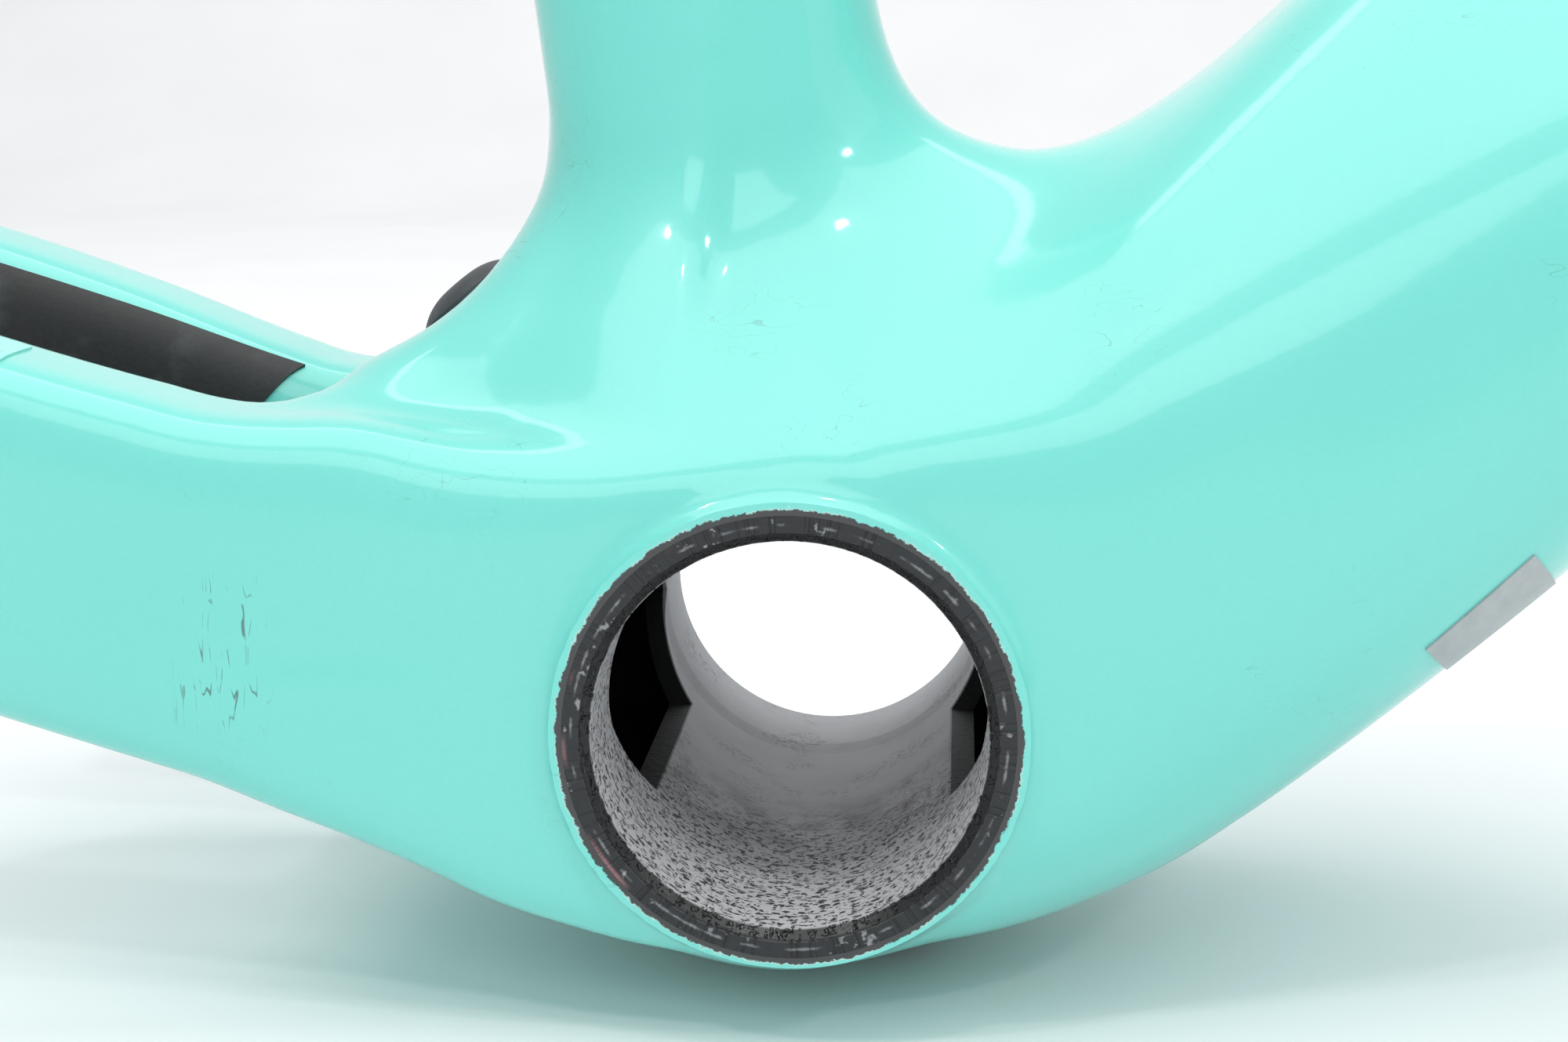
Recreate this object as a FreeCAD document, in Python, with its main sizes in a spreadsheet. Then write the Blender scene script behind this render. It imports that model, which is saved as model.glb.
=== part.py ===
"""Bottom bracket junction of a moulded carbon road frame, with its tube and chainstay ends.

Millimetres. The origin is the centre of the bearing bore. +X points to the front of the
bicycle, +Y to its left side and +Z up, so the bore runs along Y and the drive side is at -Y.
The tubes and stays are straight arms. Each arm has a frame of its own: local Z runs along
the arm away from the shell, local Y is the row's Y, and sections are drawn across local Z.
"""
import FreeCAD, Part
import math
import os

import Sketcher
from FreeCAD import Placement, Rotation, Vector

doc = FreeCAD.newDocument("BottomBracketShell")

DIMENSIONS = {
    # bore sleeve
    "bore_radius": 20.5,
    "sleeve_radius": 23.3,
    "shell_width": 86.5,
    "mouth_bevel": 1.15,
    "seat_inner_end": 28.0,
    "relief_depth": 0.4,
    "relief_ramp": 3.0,
    "window_reach": 27.5,
    "window_flat": 19.0,
    "window_rise": 13.0,
    # shell around the bore
    "skin": 3.0,
    "face_radius": 24.6,
    "belly_radius": 31.0,
    "belly_flat": 28.0,
    "hub_void_reach": 38.0,
    "hub_void_face_radius": 24.2,
    # seat tube arm
    "seat_lean": 7.5,
    "seat_foot": -2.5,
    "seat_depth": 38.3,
    "seat_tube_width": 34.0,
    "seat_corner": 15.5,
    "seat_socket_start": 50.0,
    "seat_socket_front": 35.2,
    "seat_joint": 74.0,
    "seat_end": 100.0,
    # down tube arm
    "down_lean": 47.0,
    "down_drop": 13.6,
    "down_depth": 64.0,
    "down_tube_width": 76.0,
    "down_corner": 24.0,
    "down_socket_start": 47.0,
    "down_joint": 92.0,
    "down_end": 130.0,
    # chainstay arms
    "stay_lean": 73.5,
    "stay_drop": 6.65,
    "stay_side": 31.0,
    "stay_height": 39.1,
    "stay_thickness": 22.0,
    "stay_corner": 8.0,
    "stay_start": 18.0,
    "stay_joint": 74.0,
    "stay_end": 126.0,
    # crotch fillets, in the side view
    "front_crotch_x": 25.5,
    "front_crotch_z": 77.0,
    "front_crotch_radius": 20.0,
    "rear_crotch_x": -58.0,
    "rear_crotch_z": 62.0,
    "rear_crotch_radius": 28.0,
    "crotch_web_relief": 4.0,
    "web_inner_x": -10.0,
    "web_inner_z": 30.0,
    "web_heart_x": 30.0,
    "yoke_rear": -52.0,
    "yoke_foot_z": -12.5,
    "yoke_belly_x": -12.0,
    "yoke_belly_z": -29.5,
    "yoke_split": -46.0,
    "yoke_half_width": 21.0,
    # cutting blocks, larger than the whole part
    "half_space": 200.0,
    # bonding sleeves inside the butt joints
    "glue_gap": 0.1,
    "spigot_wall": 1.6,
    "spigot_reach": 14.0,
    # trim
    "guard_thickness": 0.4,
    "guard_height": 35.0,
    "guard_start": 73.5,
    "guard_slant": 10.5,
    "guard_wrap": 9.0,
    "film_thickness": 0.25,
    "film_start": 87.0,
    "film_drop": 24.0,
    "label_thickness": 0.25,
    "label_start": 49.0,
    "label_end": 68.0,
    "label_near": 37.0,
    "label_far": 5.0,
    "label_window_start": 24.0,
    "label_window_depth": 30.0,
    # cable exit grommet behind the seat tube foot
    "grommet_angle": -50.0,
    "grommet_radius": 6.5,
    "grommet_dome": 2.4,
    "grommet_neck_radius": 4.0,
    "grommet_neck_length": 3.2,
    "grommet_barb_radius": 4.9,
    "grommet_barb_length": 1.4,
    "grommet_lip": 0.6,
    "grommet_crown": 1.5,
    "grommet_hole_length": 12.0,
    # cable guide, screw and insert under the shell
    "guide_thickness": 2.6,
    "guide_half_width": 13.0,
    "guide_angle": 50.0,
    "guide_groove_radius": 1.3,
    "guide_groove_side": 8.0,
    "guide_recess": 1.2,
    "guide_hole_gap": 0.2,
    "screw_head_radius": 4.5,
    "screw_head_height": 2.2,
    "screw_shank_radius": 2.5,
    "screw_length": 8.5,
    "screw_socket_radius": 1.5,
    "screw_socket_depth": 1.5,
    "screw_tip_chamfer": 0.4,
    "insert_radius": 3.6,
    "insert_length": 6.0,
    "insert_flange_radius": 5.0,
    "insert_flange_height": 0.8,
    # cable liner
    "liner_radius": 1.0,
    "liner_bore_radius": 0.65,
}

# Sections of the flare from the seat tube down to the full shell width:
# station along the arm, depth, width, corner radius.
SEAT_FLARE = [
    (54.0, 39.0, 34.6, 15.6),
    (46.0, 50.0, 44.0, 18.0),
    (39.0, 62.0, 60.0, 22.0),
    (33.0, 71.0, 74.0, 20.0),
    (26.0, 75.0, 83.0, 16.0),
    (5.0, 76.0, 84.0, 14.0),
]

# Sections from the shell to the down tube: station, offset below the bore axis, depth,
# width, corner radius.
DOWN_FLARE = [
    (-14.0, 2.5, 51.0, 84.0, 13.0),
    (5.0, 9.1, 57.0, 84.5, 17.0),
    (18.0, 11.1, 59.8, 84.5, 19.0),
    (30.0, 12.05, 61.1, 84.0, 20.0),
    (55.0, 13.3, 63.0, 81.0, 22.0),
    (78.0, 13.6, 64.0, 77.0, 24.0),
    (92.0, 13.6, 64.0, 76.0, 24.0),
]

# Way of the cable liner, from the guide's hole to the end of the right chainstay.
LINER_ROUTE = [
    Vector(-13, -6, -26),
    Vector(-27, -9, -17),
    Vector(-38, -20, 1),
    Vector(-58, -31, 12),
    Vector(-90, -31, 21),
    Vector(-122, -31, 29.5),
]


# ---------------------------------------------------------------- sheet and small helpers

def make_sheet():
    """Spreadsheet with every driving dimension as a plain number under its own alias."""
    sheet = doc.addObject("Spreadsheet::Sheet", "Sizes")
    values = dict(DIMENSIONS)
    for index, (station, depth, width, corner) in enumerate(SEAT_FLARE, 1):
        values[f"flare_station_{index}"] = station
        values[f"flare_depth_{index}"] = depth
        values[f"flare_width_{index}"] = width
        values[f"flare_corner_{index}"] = corner
    for index, (station, drop, depth, width, corner) in enumerate(DOWN_FLARE, 1):
        values[f"neck_station_{index}"] = station
        values[f"neck_drop_{index}"] = drop
        values[f"neck_depth_{index}"] = depth
        values[f"neck_width_{index}"] = width
        values[f"neck_corner_{index}"] = corner
    for row, (name, value) in enumerate(values.items(), 1):
        sheet.set(f"A{row}", name)
        sheet.set(f"B{row}", str(value))
        sheet.setAlias(f"B{row}", name)
    doc.recompute()
    return sheet


SHEET = make_sheet()


def size(name):
    """Value of one cell of the sheet."""
    return float(SHEET.get(name))


def value_of(expression):
    """Number that an expression gives, written as other objects write it."""
    return float(SHEET.evalExpression(expression.replace("Sizes.", "")))


def cell(name):
    """The name of a cell, as expressions of other objects write it."""
    return "Sizes." + name


def new_body(label, placement=Placement()):
    body = doc.addObject("PartDesign::Body", label)
    body.Label = label
    body.Placement = placement
    return body


def new_sketch(body, name, role="XY_Plane", station=None, across=None):
    """Sketch on one of the body's own planes, moved along its normal to a station."""
    sketch = body.newObject("Sketcher::SketchObject", name)
    plane = [item for item in body.Origin.OriginFeatures if item.Role == role][0]
    sketch.AttachmentSupport = [(plane, "")]
    sketch.MapMode = "FlatFace"
    if station:
        sketch.setExpression("AttachmentOffset.Base.z", station)
    if across:
        sketch.setExpression("AttachmentOffset.Base.x", across)
    return sketch


def dimension(sketch, kind, *where_and_value, expression):
    """One driving dimension, bound to the sheet."""
    index = sketch.addConstraint(Sketcher.Constraint(kind, *where_and_value))
    sketch.setExpression(f"Constraints[{index}]", expression)


def rounded_rectangle(sketch, depth, width, corner):
    """Rounded rectangle about the sketch's origin: depth along x and width along y."""
    half_x = value_of(depth) / 2
    half_y = value_of(width) / 2
    radius = value_of(corner)
    in_x = half_x - radius
    in_y = half_y - radius
    sides = [
        (Vector(-in_x, -half_y), Vector(in_x, -half_y)),
        (Vector(half_x, -in_y), Vector(half_x, in_y)),
        (Vector(in_x, half_y), Vector(-in_x, half_y)),
        (Vector(-half_x, in_y), Vector(-half_x, -in_y)),
    ]
    centres = [Vector(in_x, -in_y), Vector(in_x, in_y), Vector(-in_x, in_y), Vector(-in_x, -in_y)]
    lines = [sketch.addGeometry(Part.LineSegment(start, end)) for start, end in sides]
    arcs = []
    for turn, centre in enumerate(centres):
        circle = Part.Circle(centre, Vector(0, 0, 1), radius)
        start = (turn - 1) * math.pi / 2
        arcs.append(sketch.addGeometry(Part.ArcOfCircle(circle, start, start + math.pi / 2)))
    for turn in range(4):
        sketch.addConstraint(Sketcher.Constraint("Tangent", lines[turn], 2, arcs[turn], 1))
        sketch.addConstraint(Sketcher.Constraint("Tangent", arcs[turn], 2, lines[(turn + 1) % 4], 1))
    for line in (lines[0], lines[2]):
        sketch.addConstraint(Sketcher.Constraint("Horizontal", line))
    for line in (lines[1], lines[3]):
        sketch.addConstraint(Sketcher.Constraint("Vertical", line))
    for arc in arcs[1:]:
        sketch.addConstraint(Sketcher.Constraint("Equal", arcs[0], arc))
    sketch.addConstraint(Sketcher.Constraint("Symmetric", lines[0], 1, lines[2], 1, -1, 1))
    dimension(sketch, "DistanceX", lines[3], 1, lines[1], 1, 2 * half_x, expression=depth)
    dimension(sketch, "DistanceY", lines[0], 1, lines[2], 1, 2 * half_y, expression=width)
    dimension(sketch, "Radius", arcs[0], radius, expression=corner)
    return sketch


def outline(sketch, pieces):
    """Closed outline of lines ("line", a, b) and arcs ("arc", a, middle, b), joined end to end."""
    ids = []
    for kind, *points in pieces:
        if kind == "line":
            ids.append(sketch.addGeometry(Part.LineSegment(*points)))
        else:
            ids.append(sketch.addGeometry(Part.Arc(*points)))
    return ids


def polygon(sketch, points):
    """Closed polygon through the points."""
    ring = points + points[:1]
    return outline(sketch, [("line", a, b) for a, b in zip(ring, ring[1:])])


def pad(body, sketch, length, name="Pad", symmetric=False):
    feature = body.newObject("PartDesign::Pad", name)
    feature.Profile = sketch
    feature.setExpression("Length", length)
    if symmetric:
        feature.SideType = "Symmetric"
    return feature


def pocket_through(body, sketch, name="Pocket"):
    feature = body.newObject("PartDesign::Pocket", name)
    feature.Profile = sketch
    feature.Type = "ThroughAll"
    feature.SideType = "Symmetric"
    return feature


def revolve(body, sketch, name="Revolution", kind="Revolution"):
    """Full turn of the sketch about its own vertical axis."""
    feature = body.newObject("PartDesign::" + kind, name)
    feature.Profile = sketch
    feature.ReferenceAxis = (sketch, ["V_Axis"])
    feature.Angle = 360
    return feature


def loft(body, sketches, name="Loft"):
    feature = body.newObject("PartDesign::AdditiveLoft", name)
    feature.Profile = sketches[0]
    feature.Sections = [(sketch, [""]) for sketch in sketches[1:]]
    feature.Ruled = True
    return feature


def boolean(kind, name, base, tool):
    """Part::Cut or Part::Common of two objects."""
    feature = doc.addObject("Part::" + kind, name)
    feature.Base = base
    feature.Tool = tool
    feature.Refine = True
    return feature


def join(name, shapes):
    feature = doc.addObject("Part::MultiFuse", name)
    feature.Shapes = shapes
    feature.Refine = True
    return feature


# ------------------------------------------------------------------------- arm frames

def arm_frame(foot, lean):
    """Frame whose local Z leans from the row's +Z towards +X by a number of degrees."""
    return Placement(foot, Rotation(Vector(0, 1, 0), lean))


SEAT_FRAME = arm_frame(Vector(size("seat_foot"), 0, 0), -size("seat_lean"))
DOWN_FRAME = arm_frame(Vector(0, 0, 0), size("down_lean"))


def stay_frame(side):
    """Frame of a chainstay: side is -1 for the right one and 1 for the left one."""
    foot = Vector(0, side * size("stay_side"), -size("stay_drop"))
    return arm_frame(foot, -size("stay_lean"))


# -------------------------------------------------- the shell's outside and its hollow
# Each block is made twice: with inset 0 for the outside, and with the skin as its inset
# for the hollow that is cut away.

def make_hub(label, face_radius, belly_radius, reach, flat):
    """Barrel around the bore: full at the centre, tapering to its end faces."""
    body = new_body(label)
    sketch = new_sketch(body, label + "_profile")
    polygon(sketch, [
        Vector(0, -reach), Vector(face_radius, -reach), Vector(belly_radius, -flat),
        Vector(belly_radius, flat), Vector(face_radius, reach), Vector(0, reach),
    ])
    revolve(body, sketch)
    return body


def make_arm_pad(label, frame, depth, width, corner, length, start=None, drop=None):
    """Straight rounded bar along an arm."""
    body = new_body(label, frame)
    sketch = new_sketch(body, label + "_section", station=start, across=drop)
    rounded_rectangle(sketch, depth, width, corner)
    pad(body, sketch, length)
    return body


def make_seat_flare(label, inset):
    """Skirt that widens from the seat tube to the shell."""
    body = new_body(label, SEAT_FRAME)
    sections = []
    for index in range(1, len(SEAT_FLARE) + 1):
        sketch = new_sketch(body, f"{label}_{index}", station=cell(f"flare_station_{index}"))
        rounded_rectangle(
            sketch,
            cell(f"flare_depth_{index} - {2 * inset}"),
            cell(f"flare_width_{index} - {2 * inset}"),
            cell(f"flare_corner_{index} - {inset}"),
        )
        sections.append(sketch)
    loft(body, sections)
    return body


def make_down_flare(label, inset):
    """Neck between the shell and the down tube's joint. Its hollow starts one section later."""
    body = new_body(label, DOWN_FRAME)
    sections = []
    first = 2 if inset > 0 else 1
    for index in range(first, len(DOWN_FLARE) + 1):
        sketch = new_sketch(
            body, f"{label}_{index}",
            station=cell(f"neck_station_{index}"), across=cell(f"neck_drop_{index}"))
        rounded_rectangle(
            sketch,
            cell(f"neck_depth_{index} - {2 * inset}"),
            cell(f"neck_width_{index} - {2 * inset}"),
            cell(f"neck_corner_{index} - {inset}"),
        )
        sections.append(sketch)
    loft(body, sections)
    return body


def on_circle(centre, radius, degrees):
    angle = math.radians(degrees)
    return centre + Vector(math.cos(angle), math.sin(angle), 0) * radius


def make_front_crotch(label, inset):
    """Middle web that fills the crotch between the seat tube and the down tube."""
    body = new_body(label)
    sketch = new_sketch(body, label + "_outline", "XZ_Plane")
    centre = Vector(size("front_crotch_x"), size("front_crotch_z"))
    radius = size("front_crotch_radius") + inset
    down_rise = 90 - size("down_lean")
    start = on_circle(centre, radius, 188)
    bottom = on_circle(centre, radius, 260)
    end = on_circle(centre, radius, 270 + down_rise)
    inner_x = size("web_inner_x")
    inner_z = size("web_inner_z")
    heart = Vector(size("web_heart_x"), inner_z)
    outline(sketch, [
        ("arc", start, bottom, end),
        ("line", end, heart),
        ("line", heart, Vector(inner_x, inner_z)),
        ("line", Vector(inner_x, inner_z), Vector(inner_x, start.y)),
        ("line", Vector(inner_x, start.y), start),
    ])
    width = f"seat_tube_width - Sizes.crotch_web_relief - {2 * inset}"
    pad(body, sketch, cell(width), symmetric=True)
    return body


def rear_arc(inset, from_degrees, to_degrees):
    """Start, middle and end of a stretch of the crotch between the seat tube and the stays."""
    centre = Vector(size("rear_crotch_x"), size("rear_crotch_z"))
    radius = size("rear_crotch_radius") + inset
    middle = (from_degrees + to_degrees) / 2
    return [on_circle(centre, radius, turn) for turn in (from_degrees, middle, to_degrees)]


def make_rear_crotch(label, inset):
    """Middle web that fills the crotch behind the seat tube."""
    body = new_body(label)
    sketch = new_sketch(body, label + "_outline", "XZ_Plane")
    start, middle, end = rear_arc(inset, -62, -4)
    inner_x = size("web_inner_x")
    outline(sketch, [
        ("arc", start, middle, end),
        ("line", end, Vector(inner_x, end.y)),
        ("line", Vector(inner_x, end.y), Vector(inner_x, start.y)),
        ("line", Vector(inner_x, start.y), start),
    ])
    width = f"seat_tube_width - Sizes.crotch_web_relief - {2 * inset}"
    pad(body, sketch, cell(width), symmetric=True)
    return body


def make_yoke_web(label, inset):
    """Middle web behind the bore, which closes the gap between the chainstays."""
    body = new_body(label)
    sketch = new_sketch(body, label + "_outline", "XZ_Plane")
    rear = size("yoke_rear") + inset
    reach = (rear - size("rear_crotch_x")) / (size("rear_crotch_radius") + inset)
    start, middle, end = rear_arc(inset, -math.degrees(math.acos(reach)), -44)
    inner_x = size("web_inner_x")
    belly = Vector(size("yoke_belly_x"), size("yoke_belly_z") + inset)
    foot = Vector(rear, size("yoke_foot_z") + inset)
    outline(sketch, [
        ("line", foot, start),
        ("arc", start, middle, end),
        ("line", end, Vector(inner_x, end.y)),
        ("line", Vector(inner_x, end.y), Vector(inner_x, belly.y)),
        ("line", Vector(inner_x, belly.y), belly),
        ("line", belly, foot),
    ])
    pad(body, sketch, cell(f"yoke_half_width * 2 - {2 * inset}"), symmetric=True)
    return body


def make_stay_root(label, side, inset):
    """Straight root of a chainstay, from inside the shell to the stay's joint."""
    return make_arm_pad(
        label, stay_frame(side),
        cell(f"stay_height - {2 * inset}"),
        cell(f"stay_thickness - {2 * inset}"),
        cell(f"stay_corner - {inset}"),
        cell(f"stay_joint - Sizes.stay_start - {inset}"),
        start=cell(f"stay_start + {inset}"),
    )


def make_shell_mass(prefix, inset):
    """All blocks of the shell fused: the outside with inset 0, the hollow with the skin."""
    half_width = size("shell_width") / 2
    if inset:
        hub = make_hub(
            prefix + "_hub", size("hub_void_face_radius"), size("belly_radius") - inset,
            size("hub_void_reach"), size("belly_flat") - inset)
    else:
        hub = make_hub(
            prefix + "_hub", size("face_radius"), size("belly_radius"),
            half_width, size("belly_flat"))
    seat = make_arm_pad(
        prefix + "_seat", SEAT_FRAME,
        cell(f"seat_depth - {2 * inset}"), cell(f"seat_tube_width - {2 * inset}"),
        cell(f"seat_corner - {inset}"), cell("seat_joint"))
    blocks = [
        hub,
        seat,
        make_seat_flare(prefix + "_seat_flare", inset),
        make_down_flare(prefix + "_down_flare", inset),
        make_front_crotch(prefix + "_front_crotch", inset),
        make_rear_crotch(prefix + "_rear_crotch", inset),
        make_yoke_web(prefix + "_yoke", inset),
        make_stay_root(prefix + "_stay_right", -1, inset),
        make_stay_root(prefix + "_stay_left", 1, inset),
    ]
    return join(prefix, blocks)


def make_cylinder(name, radius, length, placement):
    """Part cylinder about the placement's Z, centred on its origin."""
    cylinder = doc.addObject("Part::Cylinder", name)
    cylinder.setExpression("Radius", radius)
    cylinder.setExpression("Height", length)
    half = Placement(Vector(0, 0, -value_of(length) / 2), Rotation())
    cylinder.Placement = placement.multiply(half)
    return cylinder


def grommet_frame():
    """Frame of the grommet: its origin on the rear crotch, local Z out of the shell."""
    angle = math.radians(size("grommet_angle"))
    centre = Vector(size("rear_crotch_x"), 0, size("rear_crotch_z"))
    way_in = Vector(math.cos(angle), 0, math.sin(angle))
    seat = centre + way_in * size("rear_crotch_radius")
    return Placement(seat, Rotation(Vector(0, 0, 1), way_in * -1))


def make_holes():
    """Everything bored through the shell's skin: bore, grommet seat, screw and cable holes."""
    along_bore = Placement(Vector(), Rotation(Vector(1, 0, 0), 90))
    bore = make_cylinder("hole_bore", cell("sleeve_radius"), cell("shell_width * 1.2"), along_bore)
    grommet = make_cylinder("hole_grommet", cell("grommet_neck_radius"),
                            cell("grommet_hole_length"), grommet_frame())
    spot = doc.addObject("Part::Cylinder", "hole_grommet_spot")
    spot.setExpression("Radius", cell("grommet_radius + 0.1"))
    spot.setExpression("Height", cell("grommet_radius"))
    spot.Placement = grommet_frame()
    below = Placement(Vector(0, 0, -size("belly_radius")), Rotation())
    insert = make_cylinder("hole_insert", cell("insert_radius"), cell("skin * 3"), below)
    return join("holes", [bore, grommet, spot, insert])


def make_block(name, length, width, height, placement, corner):
    """Box with one corner at a point of the placement's frame."""
    block = doc.addObject("Part::Box", name)
    block.Length = length
    block.Width = width
    block.Height = height
    block.Placement = placement.multiply(Placement(corner, Rotation()))
    return block


def make_shell():
    """Split shell: the lug around the bore, the sockets of both tubes, and the yoke behind."""
    outside = make_shell_mass("shell_outside", 0)
    hollow = make_shell_mass("shell_hollow", size("skin"))
    skin = boolean("Cut", "shell_skin", outside, hollow)
    drilled = boolean("Cut", "shell_drilled", skin, make_holes())
    wide = size("half_space")
    rear = make_block("rear_half_space", wide, wide, wide, Placement(),
                      Vector(size("yoke_split") - wide, -wide / 2, -wide / 2))
    above = make_block("seat_half_space", wide, wide, wide, SEAT_FRAME,
                       Vector(size("seat_socket_front") - wide, -wide / 2, size("seat_socket_start")))
    ahead = make_block("down_half_space", wide, wide, wide, DOWN_FRAME,
                       Vector(-wide / 2, -wide / 2, size("down_socket_start")))
    front = boolean("Cut", "shell_front", drilled, rear)
    yoke = boolean("Common", "chainstay_yoke", drilled, rear)
    seat_socket = boolean("Common", "seat_tube_socket", front, above)
    lower = boolean("Cut", "shell_lower", front, above)
    down_socket = boolean("Common", "down_tube_socket", lower, ahead)
    lug = boolean("Cut", "bb_shell_lug", lower, ahead)
    return [lug, yoke, seat_socket, down_socket], outside


# ------------------------------------------------------------------- tubes and stays

def make_hollow_end(label, frame, depth, width, corner, start, end, drop=None):
    """Hollow tube end from its joint to its cut."""
    body = make_arm_pad(label, frame, cell(depth), cell(width), cell(corner),
                        cell(f"{end} - Sizes.{start}"), start=cell(start),
                        drop=cell(drop) if drop else None)
    sketch = new_sketch(body, label + "_hollow", station=cell(start),
                        across=cell(drop) if drop else None)
    rounded_rectangle(sketch, cell(f"{depth} - 2 * Sizes.skin"), cell(f"{width} - 2 * Sizes.skin"),
                      cell(f"{corner} - Sizes.skin"))
    pocket_through(body, sketch)
    return body


def make_spigot(label, frame, depth, width, corner, joint, drop=None):
    """Thin bonding sleeve that bridges a butt joint on the inside."""
    across = cell(drop) if drop else None
    start = cell(f"{joint} - Sizes.spigot_reach")
    inset = "Sizes.skin - Sizes.glue_gap"
    body = make_arm_pad(
        label, frame,
        cell(f"{depth} - 2 * Sizes.skin - 2 * Sizes.glue_gap"),
        cell(f"{width} - 2 * Sizes.skin - 2 * Sizes.glue_gap"),
        cell(f"{corner} - {inset}"),
        cell("spigot_reach * 2"), start=start, drop=across)
    sketch = new_sketch(body, label + "_hollow", station=start, across=across)
    wall = "2 * Sizes.skin - 2 * Sizes.glue_gap - 2 * Sizes.spigot_wall"
    rounded_rectangle(
        sketch,
        cell(f"{depth} - {wall}"), cell(f"{width} - {wall}"),
        cell(f"{corner} - {inset} - Sizes.spigot_wall"))
    pocket_through(body, sketch)
    return body


def make_tubes():
    tubes = [
        make_hollow_end("seat_tube", SEAT_FRAME, "seat_depth", "seat_tube_width", "seat_corner",
                        "seat_joint", "seat_end"),
        make_hollow_end("down_tube", DOWN_FRAME, "down_depth", "down_tube_width", "down_corner",
                        "down_joint", "down_end", "down_drop"),
    ]
    spigots = [
        make_spigot("seat_tube_spigot", SEAT_FRAME, "seat_depth", "seat_tube_width",
                    "seat_corner", "seat_joint"),
        make_spigot("down_tube_spigot", DOWN_FRAME, "down_depth", "down_tube_width",
                    "down_corner", "down_joint", "down_drop"),
    ]
    for name, side in (("right", -1), ("left", 1)):
        frame = stay_frame(side)
        tubes.append(make_hollow_end(
            "chainstay_" + name, frame, "stay_height", "stay_thickness", "stay_corner",
            "stay_joint", "stay_end"))
        spigots.append(make_spigot(
            "chainstay_plug_" + name, frame, "stay_height", "stay_thickness", "stay_corner",
            "stay_joint"))
    return tubes + spigots


# ------------------------------------------------------------------------ bore sleeve

def make_sleeve():
    """Bore tube with bevelled mouths, two bearing seats, a relieved middle and two windows."""
    body = new_body("bb_sleeve")
    profile = new_sketch(body, "sleeve_profile")
    half = size("shell_width") / 2
    bevel = size("mouth_bevel")
    bore = size("bore_radius")
    relief = bore + size("relief_depth")
    seat_end = size("seat_inner_end")
    outer = size("sleeve_radius")
    right = [
        Vector(outer, -half), Vector(bore + bevel, -half), Vector(bore, bevel - half),
        Vector(bore, -seat_end), Vector(relief, size("relief_ramp") - seat_end),
    ]
    left = [Vector(point.x, -point.y) for point in reversed(right)]
    polygon(profile, right + left)
    revolve(body, profile)
    window = new_sketch(body, "window_outline", "YZ_Plane")
    reach = size("window_reach")
    flat = size("window_flat")
    rise = size("window_rise")
    polygon(window, [
        Vector(-reach, 0), Vector(-flat, -rise), Vector(flat, -rise),
        Vector(reach, 0), Vector(flat, rise), Vector(-flat, rise),
    ])
    pocket_through(body, window, "Windows")
    return body


# ------------------------------------------------------------------------------- trim

def make_tyre_guard(name, side):
    """Thin patch bent around the stay's inner face. Its front end is a curve that leans back."""
    frame = stay_frame(side)
    start = size("guard_start")
    length = cell("stay_end - Sizes.guard_start")
    layer = make_arm_pad(
        name + "_guard_layer", frame, cell("stay_height + 2 * Sizes.guard_thickness"),
        cell("stay_thickness + 2 * Sizes.guard_thickness"),
        cell("stay_corner + Sizes.guard_thickness"), length, start=cell("guard_start"))
    stay = make_arm_pad(
        name + "_guard_stay", frame, cell("stay_height"), cell("stay_thickness"),
        cell("stay_corner"), length, start=cell("guard_start"))
    body = new_body(name + "_guard_patch", frame)
    inner_face = side * -(size("stay_thickness") / 2 + size("guard_thickness"))
    sketch = new_sketch(body, name + "_guard_outline", "XZ_Plane")
    sketch.AttachmentOffset = Placement(Vector(0, 0, -inner_face), Rotation())
    half = size("guard_height") / 2
    slant = size("guard_slant")
    end = size("stay_end")
    outline(sketch, [
        ("arc", Vector(-half, start + slant), Vector(0, start + slant * 0.7), Vector(half, start)),
        ("line", Vector(half, start), Vector(half, end)),
        ("line", Vector(half, end), Vector(-half, end)),
        ("line", Vector(-half, end), Vector(-half, start + slant)),
    ])
    feature = pad(body, sketch, cell("guard_wrap"))
    feature.Reversed = side > 0
    ring = boolean("Cut", name + "_guard_ring", layer, stay)
    return boolean("Common", "tyre_guard_" + name, ring, body)


def make_film():
    """Clear film over the top and the outer face of the right chainstay."""
    body = new_body("chainstay_film", stay_frame(-1))
    sketch = new_sketch(body, "film_section", station=cell("film_start"))
    top = size("stay_height") / 2
    outer = -size("stay_thickness") / 2
    corner = size("stay_corner")
    film = size("film_thickness")
    centre = Vector(top - corner, outer + corner)
    low = top - size("film_drop")
    inner_edge = -outer - corner
    diagonal = Vector(1, -1).normalize()
    outline(sketch, [
        ("line", Vector(low, outer), Vector(centre.x, outer)),
        ("arc", Vector(centre.x, outer), centre + diagonal * corner, Vector(top, centre.y)),
        ("line", Vector(top, centre.y), Vector(top, inner_edge)),
        ("line", Vector(top, inner_edge), Vector(top + film, inner_edge)),
        ("line", Vector(top + film, inner_edge), Vector(top + film, centre.y)),
        ("arc", Vector(top + film, centre.y), centre + diagonal * (corner + film),
         Vector(centre.x, outer - film)),
        ("line", Vector(centre.x, outer - film), Vector(low, outer - film)),
        ("line", Vector(low, outer - film), Vector(low, outer)),
    ])
    pad(body, sketch, cell("stay_end - Sizes.film_start"))
    return body


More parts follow.
